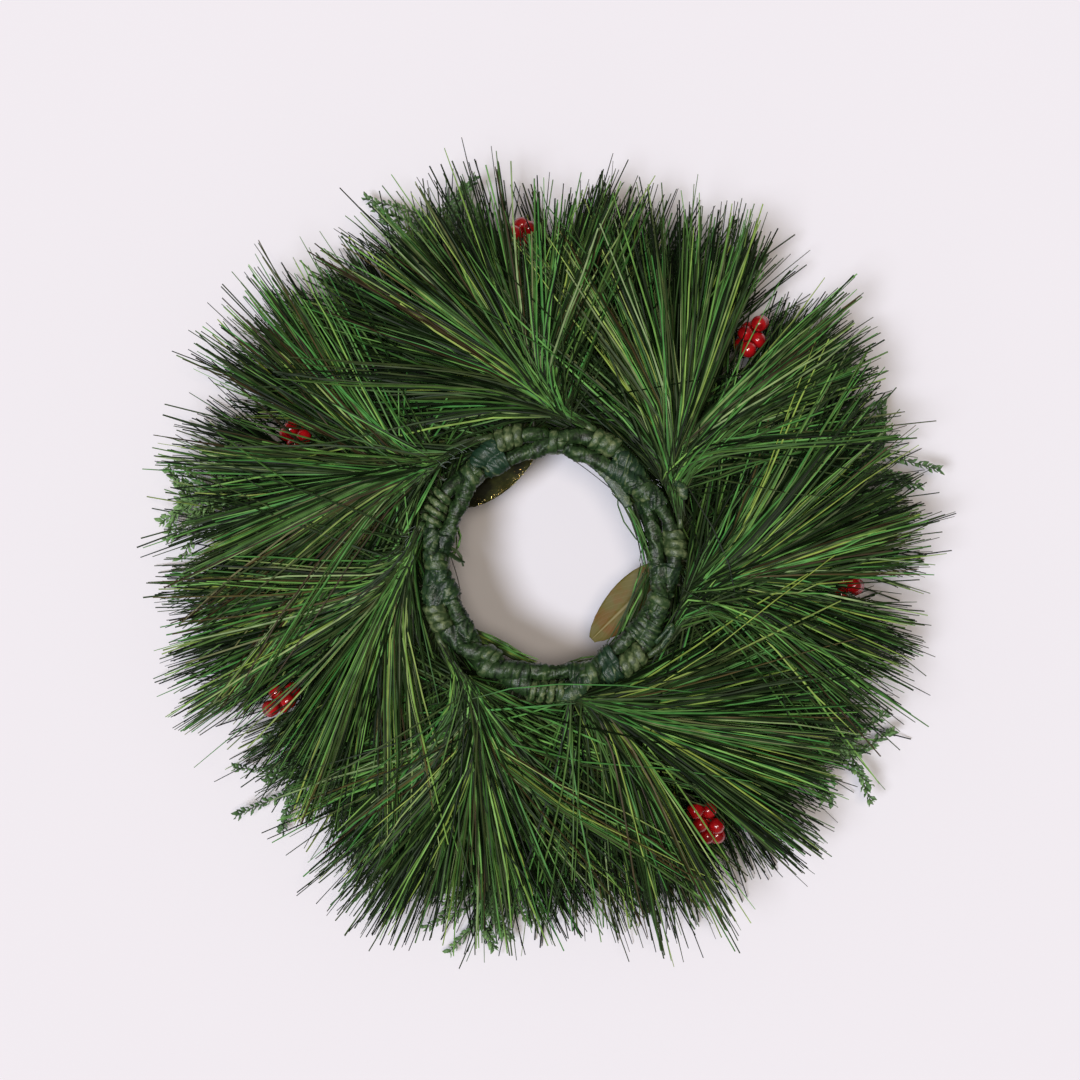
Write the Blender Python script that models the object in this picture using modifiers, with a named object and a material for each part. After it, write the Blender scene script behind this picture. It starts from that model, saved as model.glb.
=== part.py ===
"""Christmas wreath of artificial long-needle pine, lying on its face with its back up.

Two tape-wrapped wire strands are twisted into a ring. Seven pine picks are coiled onto its back
by their stems, and seven more are tied under it. Berry sprays, small-leaf sprays and broad
leaves are wired to the stems of the lower picks. The ring's axis is Z, and the floor is Z = 0.
"""

import math
import random

import bmesh
import bpy
import numpy as np
from mathutils import Matrix, Vector

MM = 0.001
GAP = 0.3 * MM
SEED = 20

# The ring: angles are degrees, anticlockwise from +X seen from above
RING_RADIUS = 55.2 * MM
RING_OVAL = 1.3 * MM
RING_HEIGHT = 61.6 * MM
STRAND_RADIUS = 2.5 * MM
STRAND_SIDES_STEP = 2
STRAND_POINTS = 72
PAIR_CLOSE = 2.95 * MM
PAIR_OPEN = 4.9 * MM
DWELL_ANGLE = 9.0
OPENING_ANGLE = 9.0

# Coils of the upper picks' stems round the outer strand, and the half twists up to the next coil
COIL_ANGLES = [8.5, 66.0, 109.5, 155.7, 207.0, 268.7, 310.0]
COIL_TURNS = [3.25, 3.25, 3.25, 4.25, 3.25, 4.25, 3.25]
HALF_TWISTS = [1, 1, 1, 1, 2, 1, 1]
COIL_TUBE = 1.8 * MM
COIL_PITCH = 4.2 * MM
COIL_STEPS = 8
COIL_REACH = STRAND_RADIUS + GAP + COIL_TUBE

# Upper picks, in the order of the coils that hold them: place of the root and way of the bunch
UPPER_ROOT_ANGLES = [38.0, 91.0, 146.0, 182.0, 241.0, 285.0, 350.0]
UPPER_ROOT_RADII = [69.0, 72.0, 75.0, 68.0, 73.0, 68.5, 68.0]
UPPER_LEANS = [22.0, 29.0, 34.0, 56.0, 31.0, 49.0, 22.0]
UPPER_ROOT_HEIGHT = 60.0 * MM
UPPER_TILT = -7.0
UPPER_LAYERS = [-3.5, -9.5, -15.5]

# Lower picks: where each stem ties the two strands, and where its bunch starts
TIE_ANGLES = [37.0, 88.0, 132.6, 181.0, 238.0, 289.0, 339.0]
LOWER_ROOT_ANGLES = [64.0, 118.0, 164.0, 211.0, 263.0, 306.0, 372.0]
LOWER_ROOT_RADIUS = 63.0 * MM
LOWER_ROOT_HEIGHT = 49.5 * MM
LOWER_LEAN = 48.0
LOWER_TILT = -14.0
LOWER_LAYERS = [-12.0, -17.5, -23.0]
END_LENGTH = 2.5 * MM
TIE_TUBE = 1.0 * MM
TIE_TURNS = 1.5
TIE_PITCH = 2.5 * MM
TIE_SLACK = 0.2 * MM
TIE_REACH = PAIR_CLOSE + STRAND_RADIUS + GAP + TIE_SLACK + TIE_TUBE

# Needles: flat strips in the real thing, three-sided here
NEEDLE_BASE = 0.62 * MM
NEEDLE_TIP = 0.42 * MM
NEEDLE_SIDES = 3
NEEDLE_LENGTH = 129.0 * MM
NEEDLE_LENGTH_SPREAD = 7.0 * MM
NEEDLES_PER_LAYER = 20
NEEDLE_TRIES = 90
TURN_WANDER = 1.6
TILT_WANDER = 2.2
MOST_WANDER = 4.5
OWN_CLEARANCE = 0.15 * MM
OUTLINE_RADIUS = 192.0 * MM
HIGHEST_TIP = 64.0 * MM
CORE_LENGTH = 20.0 * MM
CORE_RADIUS = 2.0 * MM
CORE_TAPER = 0.8
CORE_SIDES = 6
ROOT_NEAREST = 0.12
ROOT_RANGE = 0.76
LAYER_STEP = 1.05 * MM
UPPER_WIDEST = 55.0
LOWER_WIDEST = 72.0
FARTHEST_LEAN = 84.0
FLOOR_CLEARANCE = 1.2 * MM

# Berry sprays: lower pick that carries each, its place (degrees, mm, mm) and number of berries
BERRY_SPRAYS = [
    (0, 48.4, 150.0, 27.0, 7),
    (1, 95.0, 160.0, 22.0, 4),
    (2, 154.0, 138.0, 26.0, 5),
    (3, 207.5, 150.0, 27.0, 6),
    (4, 272.0, 60.0, 29.0, 4),
    (5, 301.0, 152.0, 26.0, 8),
    (6, 355.0, 145.0, 24.0, 4),
]
BERRY_RADIUS = 4.0 * MM
BERRY_STEP = 2.7 * MM
BERRY_TURN = 132.0
BERRY_SEAT = 0.25
WIRE_RADIUS = 0.9 * MM
WIRE_LEVEL = 0.38

# Small-leaf sprays: lower pick that carries each, and its place (degrees, mm, mm)
LEAFY_SPRAYS = [
    (1, 110.0, 178.0, 16.0),
    (2, 171.0, 184.0, 17.0),
    (3, 222.0, 172.0, 14.0),
    (4, 259.0, 180.0, 15.0),
    (5, 328.0, 178.0, 16.0),
    (6, 18.0, 172.0, 14.0),
]
LEAFLET_LENGTH = 8.5 * MM
LEAFLET_WIDTH = 4.6 * MM
LEAFLET_THICKNESS = 0.8 * MM
LEAFLETS = 12
LEAFLET_TURN = 137.5
LEAFLET_LEAN = 0.75
LEAFY_SEAT = 0.60
LEAFY_LENGTH = 41.0 * MM

# Broad leaves: two lie under the ring and show in its hole, three rest on the floor. An inner leaf
# is given by the lower pick that carries it and the places of its base and its tip.
INNER_LEAVES = [
    (2, (150.0, 56.0, 44.5), (97.0, 56.0, 40.0)),
    (6, (358.0, 56.0, 44.5), (297.5, 42.5, 40.0)),
]
INNER_LEAF_SEAT = 0.50
OUTER_LEAVES = [2, 4, 6]
OUTER_LEAF_SEAT = 0.82
LEAF_THICKNESS = 0.8 * MM
INNER_LEAF_WIDTH = 21.0 * MM
OUTER_LEAF_WIDTH = 25.0 * MM
LEAF_ROWS = 7
LEAF_COLUMNS = 4
LEAF_END_WIDTH = 3.2 * MM
LEAF_SAG = 1.5 * MM

# An outer leaf's midrib: distance from the axis and height above the floor, mm
OUTER_SPINE = [
    (67.0, 42.0), (76.0, 27.5), (84.0, 13.5), (90.0, 4.5), (96.0, 0.0), (104.0, 0.0), (112.0, 0.0),
    (118.0, 0.0), (127.0, 3.0),
]

TAPE_GREEN = (0.020, 0.045, 0.030)
NEEDLE_GREEN = (0.030, 0.085, 0.022)
LOWER_NEEDLE_GREEN = (0.026, 0.060, 0.024)
BERRY_RED = (0.42, 0.012, 0.018)
SMALL_LEAF_GREEN = (0.045, 0.140, 0.050)
BROAD_LEAF_OLIVE = (0.115, 0.090, 0.028)


def polar(angle, radius, height):
    """A point by its angle in degrees, its distance from the axis and its height."""
    turn = math.radians(angle)
    return Vector((radius * math.cos(turn), radius * math.sin(turn), height))


def heading(azimuth, tilt):
    """A unit direction by its azimuth and its tilt above the horizontal, in degrees."""
    flat = math.cos(math.radians(tilt))
    turn = math.radians(azimuth)
    return Vector((flat * math.cos(turn), flat * math.sin(turn), math.sin(math.radians(tilt))))


def smooth_step(value):
    """Zero below 0, one above 1 and smooth between."""
    value = min(max(value, 0.0), 1.0)
    return value * value * (3.0 - 2.0 * value)


def bezier(first, second, third, fourth, share):
    """A point of a cubic curve by its four control points."""
    rest = 1.0 - share
    return (first * rest ** 3 + second * (3.0 * rest * rest * share)
            + third * (3.0 * rest * share * share) + fourth * share ** 3)


def bezier_path(first, second, third, fourth, steps):
    return [bezier(first, second, third, fourth, step / steps) for step in range(steps + 1)]


class Room:
    """The round bars that are already placed, so that needles can keep clear of them."""

    def __init__(self):
        self.starts = np.zeros((0, 3))
        self.ends = np.zeros((0, 3))
        self.radii = np.zeros(0)

    def add(self, points, radius):
        """Bars along a line of points; a single point is a ball."""
        places = np.array([tuple(point) for point in points])
        if len(places) == 1:
            places = np.vstack([places, places + (0.0, 0.0, 0.01 * MM)])
        self.starts = np.vstack([self.starts, places[:-1]])
        self.ends = np.vstack([self.ends, places[1:]])
        self.radii = np.concatenate([self.radii, np.full(len(places) - 1, radius)])

    def clearance(self, start, end):
        """The least distance between the surface of a bar here and the line from start to end."""
        if not len(self.radii):
            return 1.0
        start = np.array(start)
        end = np.array(end)
        line = end - start
        others = self.ends - self.starts
        between = start - self.starts
        line_square = line @ line
        other_squares = (others * others).sum(axis=1)
        mixed = others @ line
        along_line = between @ line
        along_other = (others * between).sum(axis=1)
        spread = np.maximum(line_square * other_squares - mixed * mixed, 1e-18)
        share = np.clip((mixed * along_other - along_line * other_squares) / spread, 0.0, 1.0)
        other_share = np.clip((mixed * share + along_other) / other_squares, 0.0, 1.0)
        share = np.clip((mixed * other_share - along_line) / line_square, 0.0, 1.0)
        apart = start + share[:, None] * line - self.starts - other_share[:, None] * others
        return float((np.sqrt((apart * apart).sum(axis=1)) - self.radii).min())


def clear_scene():
    for item in list(bpy.data.objects):
        bpy.data.objects.remove(item, do_unlink=True)


def new_collection(name):
    group = bpy.data.collections.new(name)
    bpy.context.scene.collection.children.link(group)
    return group


def make_material(name, colour, roughness):
    material = bpy.data.materials.new(name)
    material.use_nodes = True
    shader = material.node_tree.nodes["Principled BSDF"]
    shader.inputs["Base Color"].default_value = (*colour, 1.0)
    shader.inputs["Roughness"].default_value = roughness
    shader.inputs["Metallic"].default_value = 0.0
    return material


def tube(name, points, radius, sides_step, group, closed=False):
    """A round wire through the points, as a bevelled curve."""
    curve = bpy.data.curves.new(name, "CURVE")
    curve.dimensions = "3D"
    curve.bevel_depth = radius
    curve.bevel_resolution = sides_step
    curve.use_fill_caps = not closed
    spline = curve.splines.new("POLY")
    spline.points.add(len(points) - 1)
    for place, point in zip(spline.points, points):
        place.co = (*point, 1.0)
    spline.use_cyclic_u = closed
    item = bpy.data.objects.new(name, curve)
    group.objects.link(item)
    return item


def mesh_of_curve(item, group):
    """The same tube as a closed mesh, so that a Boolean can join it."""
    bpy.context.view_layer.update()
    evaluated = item.evaluated_get(bpy.context.evaluated_depsgraph_get())
    mesh = bpy.data.meshes.new_from_object(evaluated)
    cage = bmesh.new()
    cage.from_mesh(mesh)
    bmesh.ops.remove_doubles(cage, verts=cage.verts, dist=0.005 * MM)
    bmesh.ops.recalc_face_normals(cage, faces=cage.faces)
    cage.to_mesh(mesh)
    cage.free()
    solid = bpy.data.objects.new(item.name + "_solid", mesh)
    solid.matrix_world = item.matrix_world
    group.objects.link(solid)
    bpy.data.objects.remove(item, do_unlink=True)
    return solid


def mesh_object(name, cage, group):
    """An object from a bmesh, which is freed."""
    mesh = bpy.data.meshes.new(name)
    cage.to_mesh(mesh)
    cage.free()
    item = bpy.data.objects.new(name, mesh)
    group.objects.link(item)
    return item


def aim(direction):
    """The turn that carries +Z to a direction."""
    return direction.to_track_quat("Z", "Y").to_matrix().to_4x4()


def tapered_bar(name, start, end, start_radius, end_radius, sides, group):
    """A cone between two points, closed at both ends."""
    line = end - start
    cage = bmesh.new()
    place = Matrix.Translation((start + end) / 2.0) @ aim(line.normalized())
    bmesh.ops.create_cone(
        cage, cap_ends=True, segments=sides, radius1=start_radius, radius2=end_radius,
        depth=line.length, matrix=place)
    return mesh_object(name, cage, group)


def ball(name, centre, radius, group):
    cage = bmesh.new()
    bmesh.ops.create_uvsphere(
        cage, u_segments=7, v_segments=4, radius=radius, matrix=Matrix.Translation(centre))
    return mesh_object(name, cage, group)


def join_repeats(base, repeats, material, name, parts):
    """One union of a base solid with all the solids of a collection, which are then removed."""
    union = base.modifiers.new("join", "BOOLEAN")
    union.operation = "UNION"
    union.operand_type = "COLLECTION"
    union.collection = repeats
    union.solver = "EXACT"
    bpy.context.view_layer.update()
    evaluated = base.evaluated_get(bpy.context.evaluated_depsgraph_get())
    mesh = bpy.data.meshes.new_from_object(evaluated)
    cage = bmesh.new()
    cage.from_mesh(mesh)
    bmesh.ops.triangulate(cage, faces=cage.faces)
    cage.to_mesh(mesh)
    cage.free()
    mesh.materials.clear()
    mesh.materials.append(material)
    item = bpy.data.objects.new(name, mesh)
    parts.objects.link(item)
    for old in list(repeats.objects) + [base]:
        bpy.data.objects.remove(old, do_unlink=True)
    bpy.data.collections.remove(repeats)
    return item


def ring_radius(angle):
    """The ring is a little wider along Y than along X."""
    return RING_RADIUS - RING_OVAL * math.cos(math.radians(2.0 * angle))


def pair_state(angle):
    """The strands' twist in half turns, and their distance from the ring's circle."""
    angle = angle % 360.0
    if angle < COIL_ANGLES[0]:
        angle += 360.0
    last_coil = max(index for index, coil in enumerate(COIL_ANGLES) if coil <= angle)
    since = angle - COIL_ANGLES[last_coil]
    to_next = (COIL_ANGLES + [COIL_ANGLES[0] + 360.0])[last_coil + 1] - angle
    twisting = (since - DWELL_ANGLE) / (since + to_next - 2.0 * DWELL_ANGLE)
    half_turns = sum(HALF_TWISTS[:last_coil]) + HALF_TWISTS[last_coil] * smooth_step(twisting)
    closing = smooth_step((min(since, to_next) - DWELL_ANGLE) / OPENING_ANGLE)
    return half_turns, PAIR_OPEN + (PAIR_CLOSE - PAIR_OPEN) * closing


def beside_ring(angle, reach, turn):
    """A point beside the ring's circle: turn is 0 outwards and 90 upwards."""
    out = reach * math.cos(math.radians(turn))
    up = reach * math.sin(math.radians(turn))
    return polar(angle, ring_radius(angle) + out, RING_HEIGHT + up)


def strand_point(angle, which):
    half_turns, apart = pair_state(angle)
    return beside_ring(angle, apart, 180.0 * (half_turns + which))


def build_strands(parts, room, tape):
    """Two closed strands, twisted four times round each other."""
    for which in range(2):
        points = [strand_point(360.0 * step / STRAND_POINTS, which) for step in range(STRAND_POINTS)]
        item = tube(f"ring_strand_{which + 1}", points, STRAND_RADIUS, STRAND_SIDES_STEP, parts, True)
        item.data.materials.append(tape)
        room.add(points + points[:1], STRAND_RADIUS)


def arc_to_angle(length, radius):
    return math.degrees(length / radius)


def upper_root(index):
    return polar(UPPER_ROOT_ANGLES[index], UPPER_ROOT_RADII[index] * MM, UPPER_ROOT_HEIGHT)


def upper_heading(index):
    return heading(UPPER_ROOT_ANGLES[index] + UPPER_LEANS[index], UPPER_TILT)


def coil_points(index):
    """A coil round the outer strand, ending on its outer side."""
    pitch = arc_to_angle(COIL_PITCH, RING_RADIUS + PAIR_OPEN)
    last = COIL_ANGLES[index] + COIL_TURNS[index] * pitch / 2.0
    steps = int(COIL_TURNS[index] * COIL_STEPS)
    points = []
    for step in range(steps, -1, -1):
        turns = step / COIL_STEPS
        angle = last - turns * pitch
        turn = math.radians(-360.0 * turns)
        radius = ring_radius(angle) + PAIR_OPEN + COIL_REACH * math.cos(turn)
        points.append(polar(angle, radius, RING_HEIGHT + COIL_REACH * math.sin(turn)))
    return points, last


def build_upper_stems(parts, room, tape):
    """The stem of each upper pick: a coil round the outer strand, then a run to the bunch."""
    for index in range(len(COIL_ANGLES)):
        points, last = coil_points(index)
        start = points[-1]
        end = upper_root(index)
        span = (end - start).length
        leaving = start + heading(last + 78.0, 0.0) * span * 0.62
        arriving = end - upper_heading(index) * (END_LENGTH + span * 0.14)
        straight = end - upper_heading(index) * END_LENGTH
        points += bezier_path(start, leaving, arriving, straight, 6)[1:] + [end]
        item = tube(f"upper_stem_{index + 1}", points, COIL_TUBE, 1, parts)
        item.data.materials.append(tape)
        room.add(points, COIL_TUBE)


def lower_root(index):
    return polar(LOWER_ROOT_ANGLES[index], LOWER_ROOT_RADIUS, LOWER_ROOT_HEIGHT)


def lower_heading(index):
    return heading(LOWER_ROOT_ANGLES[index] + LOWER_LEAN, LOWER_TILT)


def tie_points(index):
    """A tie round both strands, ending underneath."""
    pitch = arc_to_angle(TIE_PITCH, RING_RADIUS)
    steps = int(TIE_TURNS * COIL_STEPS)
    points = []
    for step in range(steps, -1, -1):
        turns = step / COIL_STEPS
        angle = TIE_ANGLES[index] + (TIE_TURNS / 2.0 - turns) * pitch
        points.append(beside_ring(angle, TIE_REACH, -90.0 - 360.0 * turns))
    return points


def lower_run(index):
    """The way of a lower stem from its tie to its straight end, as four control points."""
    start = tie_points(index)[-1]
    end = lower_root(index) - lower_heading(index) * END_LENGTH
    span = (end - start).length
    leaving = start + heading(TIE_ANGLES[index] + 90.0, -9.0) * span * 0.36
    arriving = end - heading(LOWER_ROOT_ANGLES[index] + 72.0, -8.0) * span * 0.30
    return start, leaving, arriving, end


def build_lower_stems(parts, room, tape):
    for index in range(len(TIE_ANGLES)):
        points = tie_points(index) + bezier_path(*lower_run(index), 6)[1:] + [lower_root(index)]
        item = tube(f"lower_stem_{index + 1}", points, TIE_TUBE, 0, parts)
        item.data.materials.append(tape)
        room.add(points, TIE_TUBE)


def outward(point):
    """The level direction away from the ring's axis."""
    return Vector((point.x, point.y, 0.0)).normalized()


def seat_beside_run(index, share, offset_out, offset_up):
    """A wire's first point, laid against a lower stem: how far along it, and on which side."""
    point = bezier(*lower_run(index), share)
    return point + outward(point) * offset_out + Vector((0.0, 0.0, offset_up))


def wire_path(seat, end, steps):
    """A wire that leaves the ring level and then comes down to its end."""
    level = seat + outward(seat) * (end - seat).length * WIRE_LEVEL
    return bezier_path(seat, level, seat.lerp(end, 0.65), end, steps)


def build_berry_sprays(parts, room, red, rng):
    """One berry on the tip of each wire, and the rest set closely round it behind the tip."""
    seat_drop = -(TIE_TUBE + GAP + WIRE_RADIUS)
    for order, (carrier, angle, radius, height, count) in enumerate(BERRY_SPRAYS):
        name = f"berry_spray_{order + 1}"
        seat = seat_beside_run(carrier, BERRY_SEAT, 0.0, seat_drop)
        end = polar(angle, radius * MM, height * MM)
        path = wire_path(seat, end, 6)
        wire = mesh_of_curve(tube(name + "_wire", path, WIRE_RADIUS, 0, parts), parts)
        room.add(path, WIRE_RADIUS)
        repeats = new_collection(name + "_berries")
        way = (path[-1] - path[-2]).normalized()
        side = way.cross(Vector((0.0, 0.0, 1.0))).normalized()
        upright = side.cross(way)
        phase = rng.uniform(0.0, math.tau)
        for number in range(count):
            centre = end + way * (BERRY_RADIUS - BERRY_STEP * number)
            if number > 0:
                turn = phase + number * math.radians(BERRY_TURN)
                centre += (side * math.cos(turn) + upright * math.sin(turn)) * BERRY_RADIUS
            ball(f"{name}_berry_{number + 1}", centre, BERRY_RADIUS, repeats)
            room.add([centre], BERRY_RADIUS)
        join_repeats(wire, repeats, red, name, parts)


def leaflet(name, root, direction, up, group):
    """A small pointed blade: an eight-sided lozenge, thicker along its middle."""
    cage = bmesh.new()
    bmesh.ops.create_uvsphere(cage, u_segments=4, v_segments=2, radius=0.5)
    across = up.cross(direction).normalized()
    normal = direction.cross(across).normalized()
    axes = Matrix((
        direction * LEAFLET_LENGTH, across * LEAFLET_WIDTH, normal * LEAFLET_THICKNESS)).transposed()
    place = Matrix.Translation(root + direction * LEAFLET_LENGTH * 0.42) @ axes.to_4x4()
    bmesh.ops.transform(cage, matrix=place, verts=cage.verts)
    bmesh.ops.recalc_face_normals(cage, faces=cage.faces)
    return mesh_object(name, cage, group)


def build_leafy_sprays(parts, room, green, rng):
    """Small leaves set spirally round the end of a wire, bent clear of the floor."""
    offset = TIE_TUBE + GAP + WIRE_RADIUS
    for order, (carrier, angle, radius, height) in enumerate(LEAFY_SPRAYS):
        name = f"leafy_spray_{order + 1}"
        seat = seat_beside_run(carrier, LEAFY_SEAT, offset, 0.0)
        end = polar(angle, radius * MM, height * MM)
        path = wire_path(seat, end, 7)
        stem = mesh_of_curve(tube(name + "_stem", path, WIRE_RADIUS, 0, parts), parts)
        room.add(path, WIRE_RADIUS)
        repeats = new_collection(name + "_leaflets")
        way = (path[-1] - path[-3]).normalized()
        side = way.cross(Vector((0.0, 0.0, 1.0))).normalized()
        upright = side.cross(way)
        for number in range(LEAFLETS):
            turn = math.radians(number * LEAFLET_TURN) + rng.uniform(-0.2, 0.2)
            out = side * math.cos(turn) + upright * math.sin(turn)
            direction = (way * LEAFLET_LEAN + out).normalized()
            root = end - way * LEAFY_LENGTH * number / LEAFLETS
            if root.z + direction.z * LEAFLET_LENGTH < FLOOR_CLEARANCE + LEAFLET_WIDTH / 2.0:
                direction.z = abs(direction.z)
            leaflet(f"{name}_leaflet_{number + 1}", root, direction, way, repeats)
            room.add([root, root + direction * LEAFLET_LENGTH * 0.92], LEAFLET_WIDTH * 0.45)
        join_repeats(stem, repeats, green, name, parts)


def leaf_half_width(share, width):
    """The outline of a broad leaf, a rounded oval from its stalk to its tip."""
    share = 0.04 + 0.93 * share
    return max(0.5 * width * math.sin(math.pi * share ** 0.85) ** 0.62, LEAF_END_WIDTH / 2.0)


def build_leaf(name, spine, width, seat, parts, room, olive, across):
    """A broad leaf on a line of points, with its stalk joined to it under its midrib."""
    rows = len(spine) - 1
    cage = bmesh.new()
    bmesh.ops.create_grid(cage, x_segments=rows, y_segments=LEAF_COLUMNS, size=0.5)
    for vert in cage.verts:
        row = round((vert.co.x + 0.5) * rows)
        vert.co = spine[row] + across * vert.co.y * 2.0 * leaf_half_width(row / rows, width)
    surface = mesh_object(name + "_blade", cage, parts)
    solid = surface.modifiers.new("thickness", "SOLIDIFY")
    solid.thickness = LEAF_THICKNESS
    solid.offset = -1.0
    stalk_end = spine[0] + (spine[1] - spine[0]) * 0.7 - Vector((0.0, 0.0, LEAF_THICKNESS / 2.0))
    arriving = spine[0] - (spine[1] - spine[0]) * 0.3
    path = bezier_path(seat, seat.lerp(stalk_end, 0.4), arriving, stalk_end, 4)
    repeats = new_collection(name + "_stalk")
    mesh_of_curve(tube(name + "_wire", path, WIRE_RADIUS, 0, repeats), repeats)
    join_repeats(surface, repeats, olive, name, parts)
    room.add(path, WIRE_RADIUS)
    for column in range(-4, 5):
        line = []
        for row, level in enumerate(spine):
            line.append(level + across * leaf_half_width(row / rows, width) * column / 4.0)
        room.add(line, width / 16.0 + LEAF_THICKNESS)


def build_inner_leaves(parts, room, olive):
    """Leaves under the ring, whose edges show in its hole."""
    for order, (carrier, base, tip) in enumerate(INNER_LEAVES):
        first = polar(base[0], base[1] * MM, base[2] * MM)
        last = polar(tip[0], tip[1] * MM, tip[2] * MM)
        way = (last - first).normalized()
        across = Vector((0.0, 0.0, 1.0)).cross(way).normalized()
        spine = [first.lerp(last, row / LEAF_ROWS) for row in range(LEAF_ROWS + 1)]
        for row, level in enumerate(spine):
            level.z -= LEAF_SAG * math.sin(math.pi * row / LEAF_ROWS)
        seat = seat_beside_run(carrier, INNER_LEAF_SEAT, -(TIE_TUBE + GAP + WIRE_RADIUS), 0.0)
        build_leaf(f"inner_leaf_{order + 1}", spine, INNER_LEAF_WIDTH, seat, parts, room, olive, across)


def build_outer_leaves(parts, room, olive):
    """Leaves that come down from the ring and lie flat on the floor before their tips."""
    for order, carrier in enumerate(OUTER_LEAVES):
        seat = seat_beside_run(carrier, OUTER_LEAF_SEAT, 0.0, -(TIE_TUBE + GAP + WIRE_RADIUS))
        angle = math.degrees(math.atan2(seat.y, seat.x))
        spine = [polar(angle, radius * MM, LEAF_THICKNESS + height * MM) for radius, height in OUTER_SPINE]
        across = heading(angle + 90.0, 0.0)
        build_leaf(f"outer_leaf_{order + 1}", spine, OUTER_LEAF_WIDTH, seat, parts, room, olive, across)


def needle_tip(start, azimuth, tilt, length):
    """The end of a needle, kept above the floor, below the ring's top and inside the outline."""
    way = heading(azimuth, tilt)
    reach = (start + way * length).xy.length
    if reach > OUTLINE_RADIUS:
        length -= reach - OUTLINE_RADIUS
    height = min(max(start.z + way.z * length, FLOOR_CLEARANCE), HIGHEST_TIP)
    tilt = math.degrees(math.asin((height - start.z) / length))
    return start + heading(azimuth, tilt) * length


def build_bunch(name, root, way, spreads, layers, parts, room, green, rng):
    """A fan of needles on a slim core, in layers, each needle clear of all that is placed."""
    azimuth = math.degrees(math.atan2(way.y, way.x))
    base = root + way * 2.0 * GAP
    tip = base + way * CORE_LENGTH
    core = tapered_bar(name + "_core", base, tip, CORE_RADIUS, CORE_RADIUS * CORE_TAPER, CORE_SIDES, parts)
    repeats = new_collection(name + "_needles")
    own = Room()
    widest = max(abs(spreads[0]), abs(spreads[1])) * 1.05
    for layer, layer_tilt in enumerate(layers):
        layer_up = Vector((0.0, 0.0, (1.0 - layer) * LAYER_STEP))
        for number in range(NEEDLES_PER_LAYER):
            share = (number + 0.5 * (layer % 2) + 0.25) / NEEDLES_PER_LAYER
            for attempt in range(NEEDLE_TRIES):
                wander = 1.0 + MOST_WANDER * attempt / NEEDLE_TRIES
                turn = spreads[0] + (spreads[1] - spreads[0]) * share
                turn += rng.uniform(-TURN_WANDER, TURN_WANDER) * wander
                root_share = ROOT_NEAREST + ROOT_RANGE * max(1.0 - abs(turn) / widest, 0.0)
                tilt = layer_tilt + rng.uniform(-TILT_WANDER, TILT_WANDER) * wander
                length = NEEDLE_LENGTH + rng.uniform(-1.0, 1.0) * NEEDLE_LENGTH_SPREAD
                start = base + way * CORE_LENGTH * root_share + layer_up
                end = needle_tip(start, azimuth + turn, tilt, length - CORE_LENGTH * root_share)
                free = room.clearance(start.lerp(end, 0.035), end) > NEEDLE_BASE + GAP
                apart = own.clearance(start.lerp(end, 0.09), end) > NEEDLE_BASE + OWN_CLEARANCE
                if free and apart:
                    tapered_bar(
                        f"{name}_{layer}_{number}", start, end, NEEDLE_BASE, NEEDLE_TIP, NEEDLE_SIDES,
                        repeats)
                    own.add([start, end], NEEDLE_BASE)
                    break
    room.add([base, tip], CORE_RADIUS)
    for start, end in zip(own.starts, own.ends):
        room.add([start, end], NEEDLE_BASE)
    join_repeats(core, repeats, green, name, parts)


def build_bunches(parts, room, upper_green, lower_green, rng):
    for index in range(len(COIL_ANGLES)):
        base = upper_root(index)
        room.add([base, base + upper_heading(index) * CORE_LENGTH], CORE_RADIUS)
        base = lower_root(index)
        room.add([base, base + lower_heading(index) * CORE_LENGTH], CORE_RADIUS)
    for index in range(len(COIL_ANGLES)):
        lean = UPPER_LEANS[index]
        build_bunch(
            f"upper_needles_{index + 1}", upper_root(index), upper_heading(index),
            (-UPPER_WIDEST, min(UPPER_WIDEST, FARTHEST_LEAN - lean)), UPPER_LAYERS, parts, room,
            upper_green, rng)
    for index in range(len(TIE_ANGLES)):
        build_bunch(
            f"lower_needles_{index + 1}", lower_root(index), lower_heading(index),
            (-LOWER_WIDEST, FARTHEST_LEAN - LOWER_LEAN), LOWER_LAYERS, parts, room, lower_green, rng)


def build_wreath():
    clear_scene()
    parts = new_collection("christmas_wreath")
    rng = random.Random(SEED)
    room = Room()
    tape = make_material("floral_tape", TAPE_GREEN, 0.55)
    build_strands(parts, room, tape)
    build_upper_stems(parts, room, tape)
    build_lower_stems(parts, room, tape)
    build_berry_sprays(parts, room, make_material("berry_red", BERRY_RED, 0.25), rng)
    build_leafy_sprays(parts, room, make_material("small_leaf", SMALL_LEAF_GREEN, 0.5), rng)
    olive = make_material("broad_leaf", BROAD_LEAF_OLIVE, 0.45)
    build_inner_leaves(parts, room, olive)
    build_outer_leaves(parts, room, olive)
    upper_green = make_material("upper_needle", NEEDLE_GREEN, 0.4)
    lower_green = make_material("lower_needle", LOWER_NEEDLE_GREEN, 0.45)
    build_bunches(parts, room, upper_green, lower_green, rng)


build_wreath()
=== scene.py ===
"""The looks of the christmas wreath, which lies on its face with its wired back up.

Run as a script, this dresses the wreath's frame: tape-wrapped strands, coiled pine picks, bunches
of fine needles, glossy berries, small leaves and broad leaves, on a plain pale floor.
"""

import math
import random

import bmesh
import bpy
import numpy as np
from bpy.props import FloatProperty, FloatVectorProperty, IntProperty, PointerProperty
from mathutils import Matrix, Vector, noise


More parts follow.
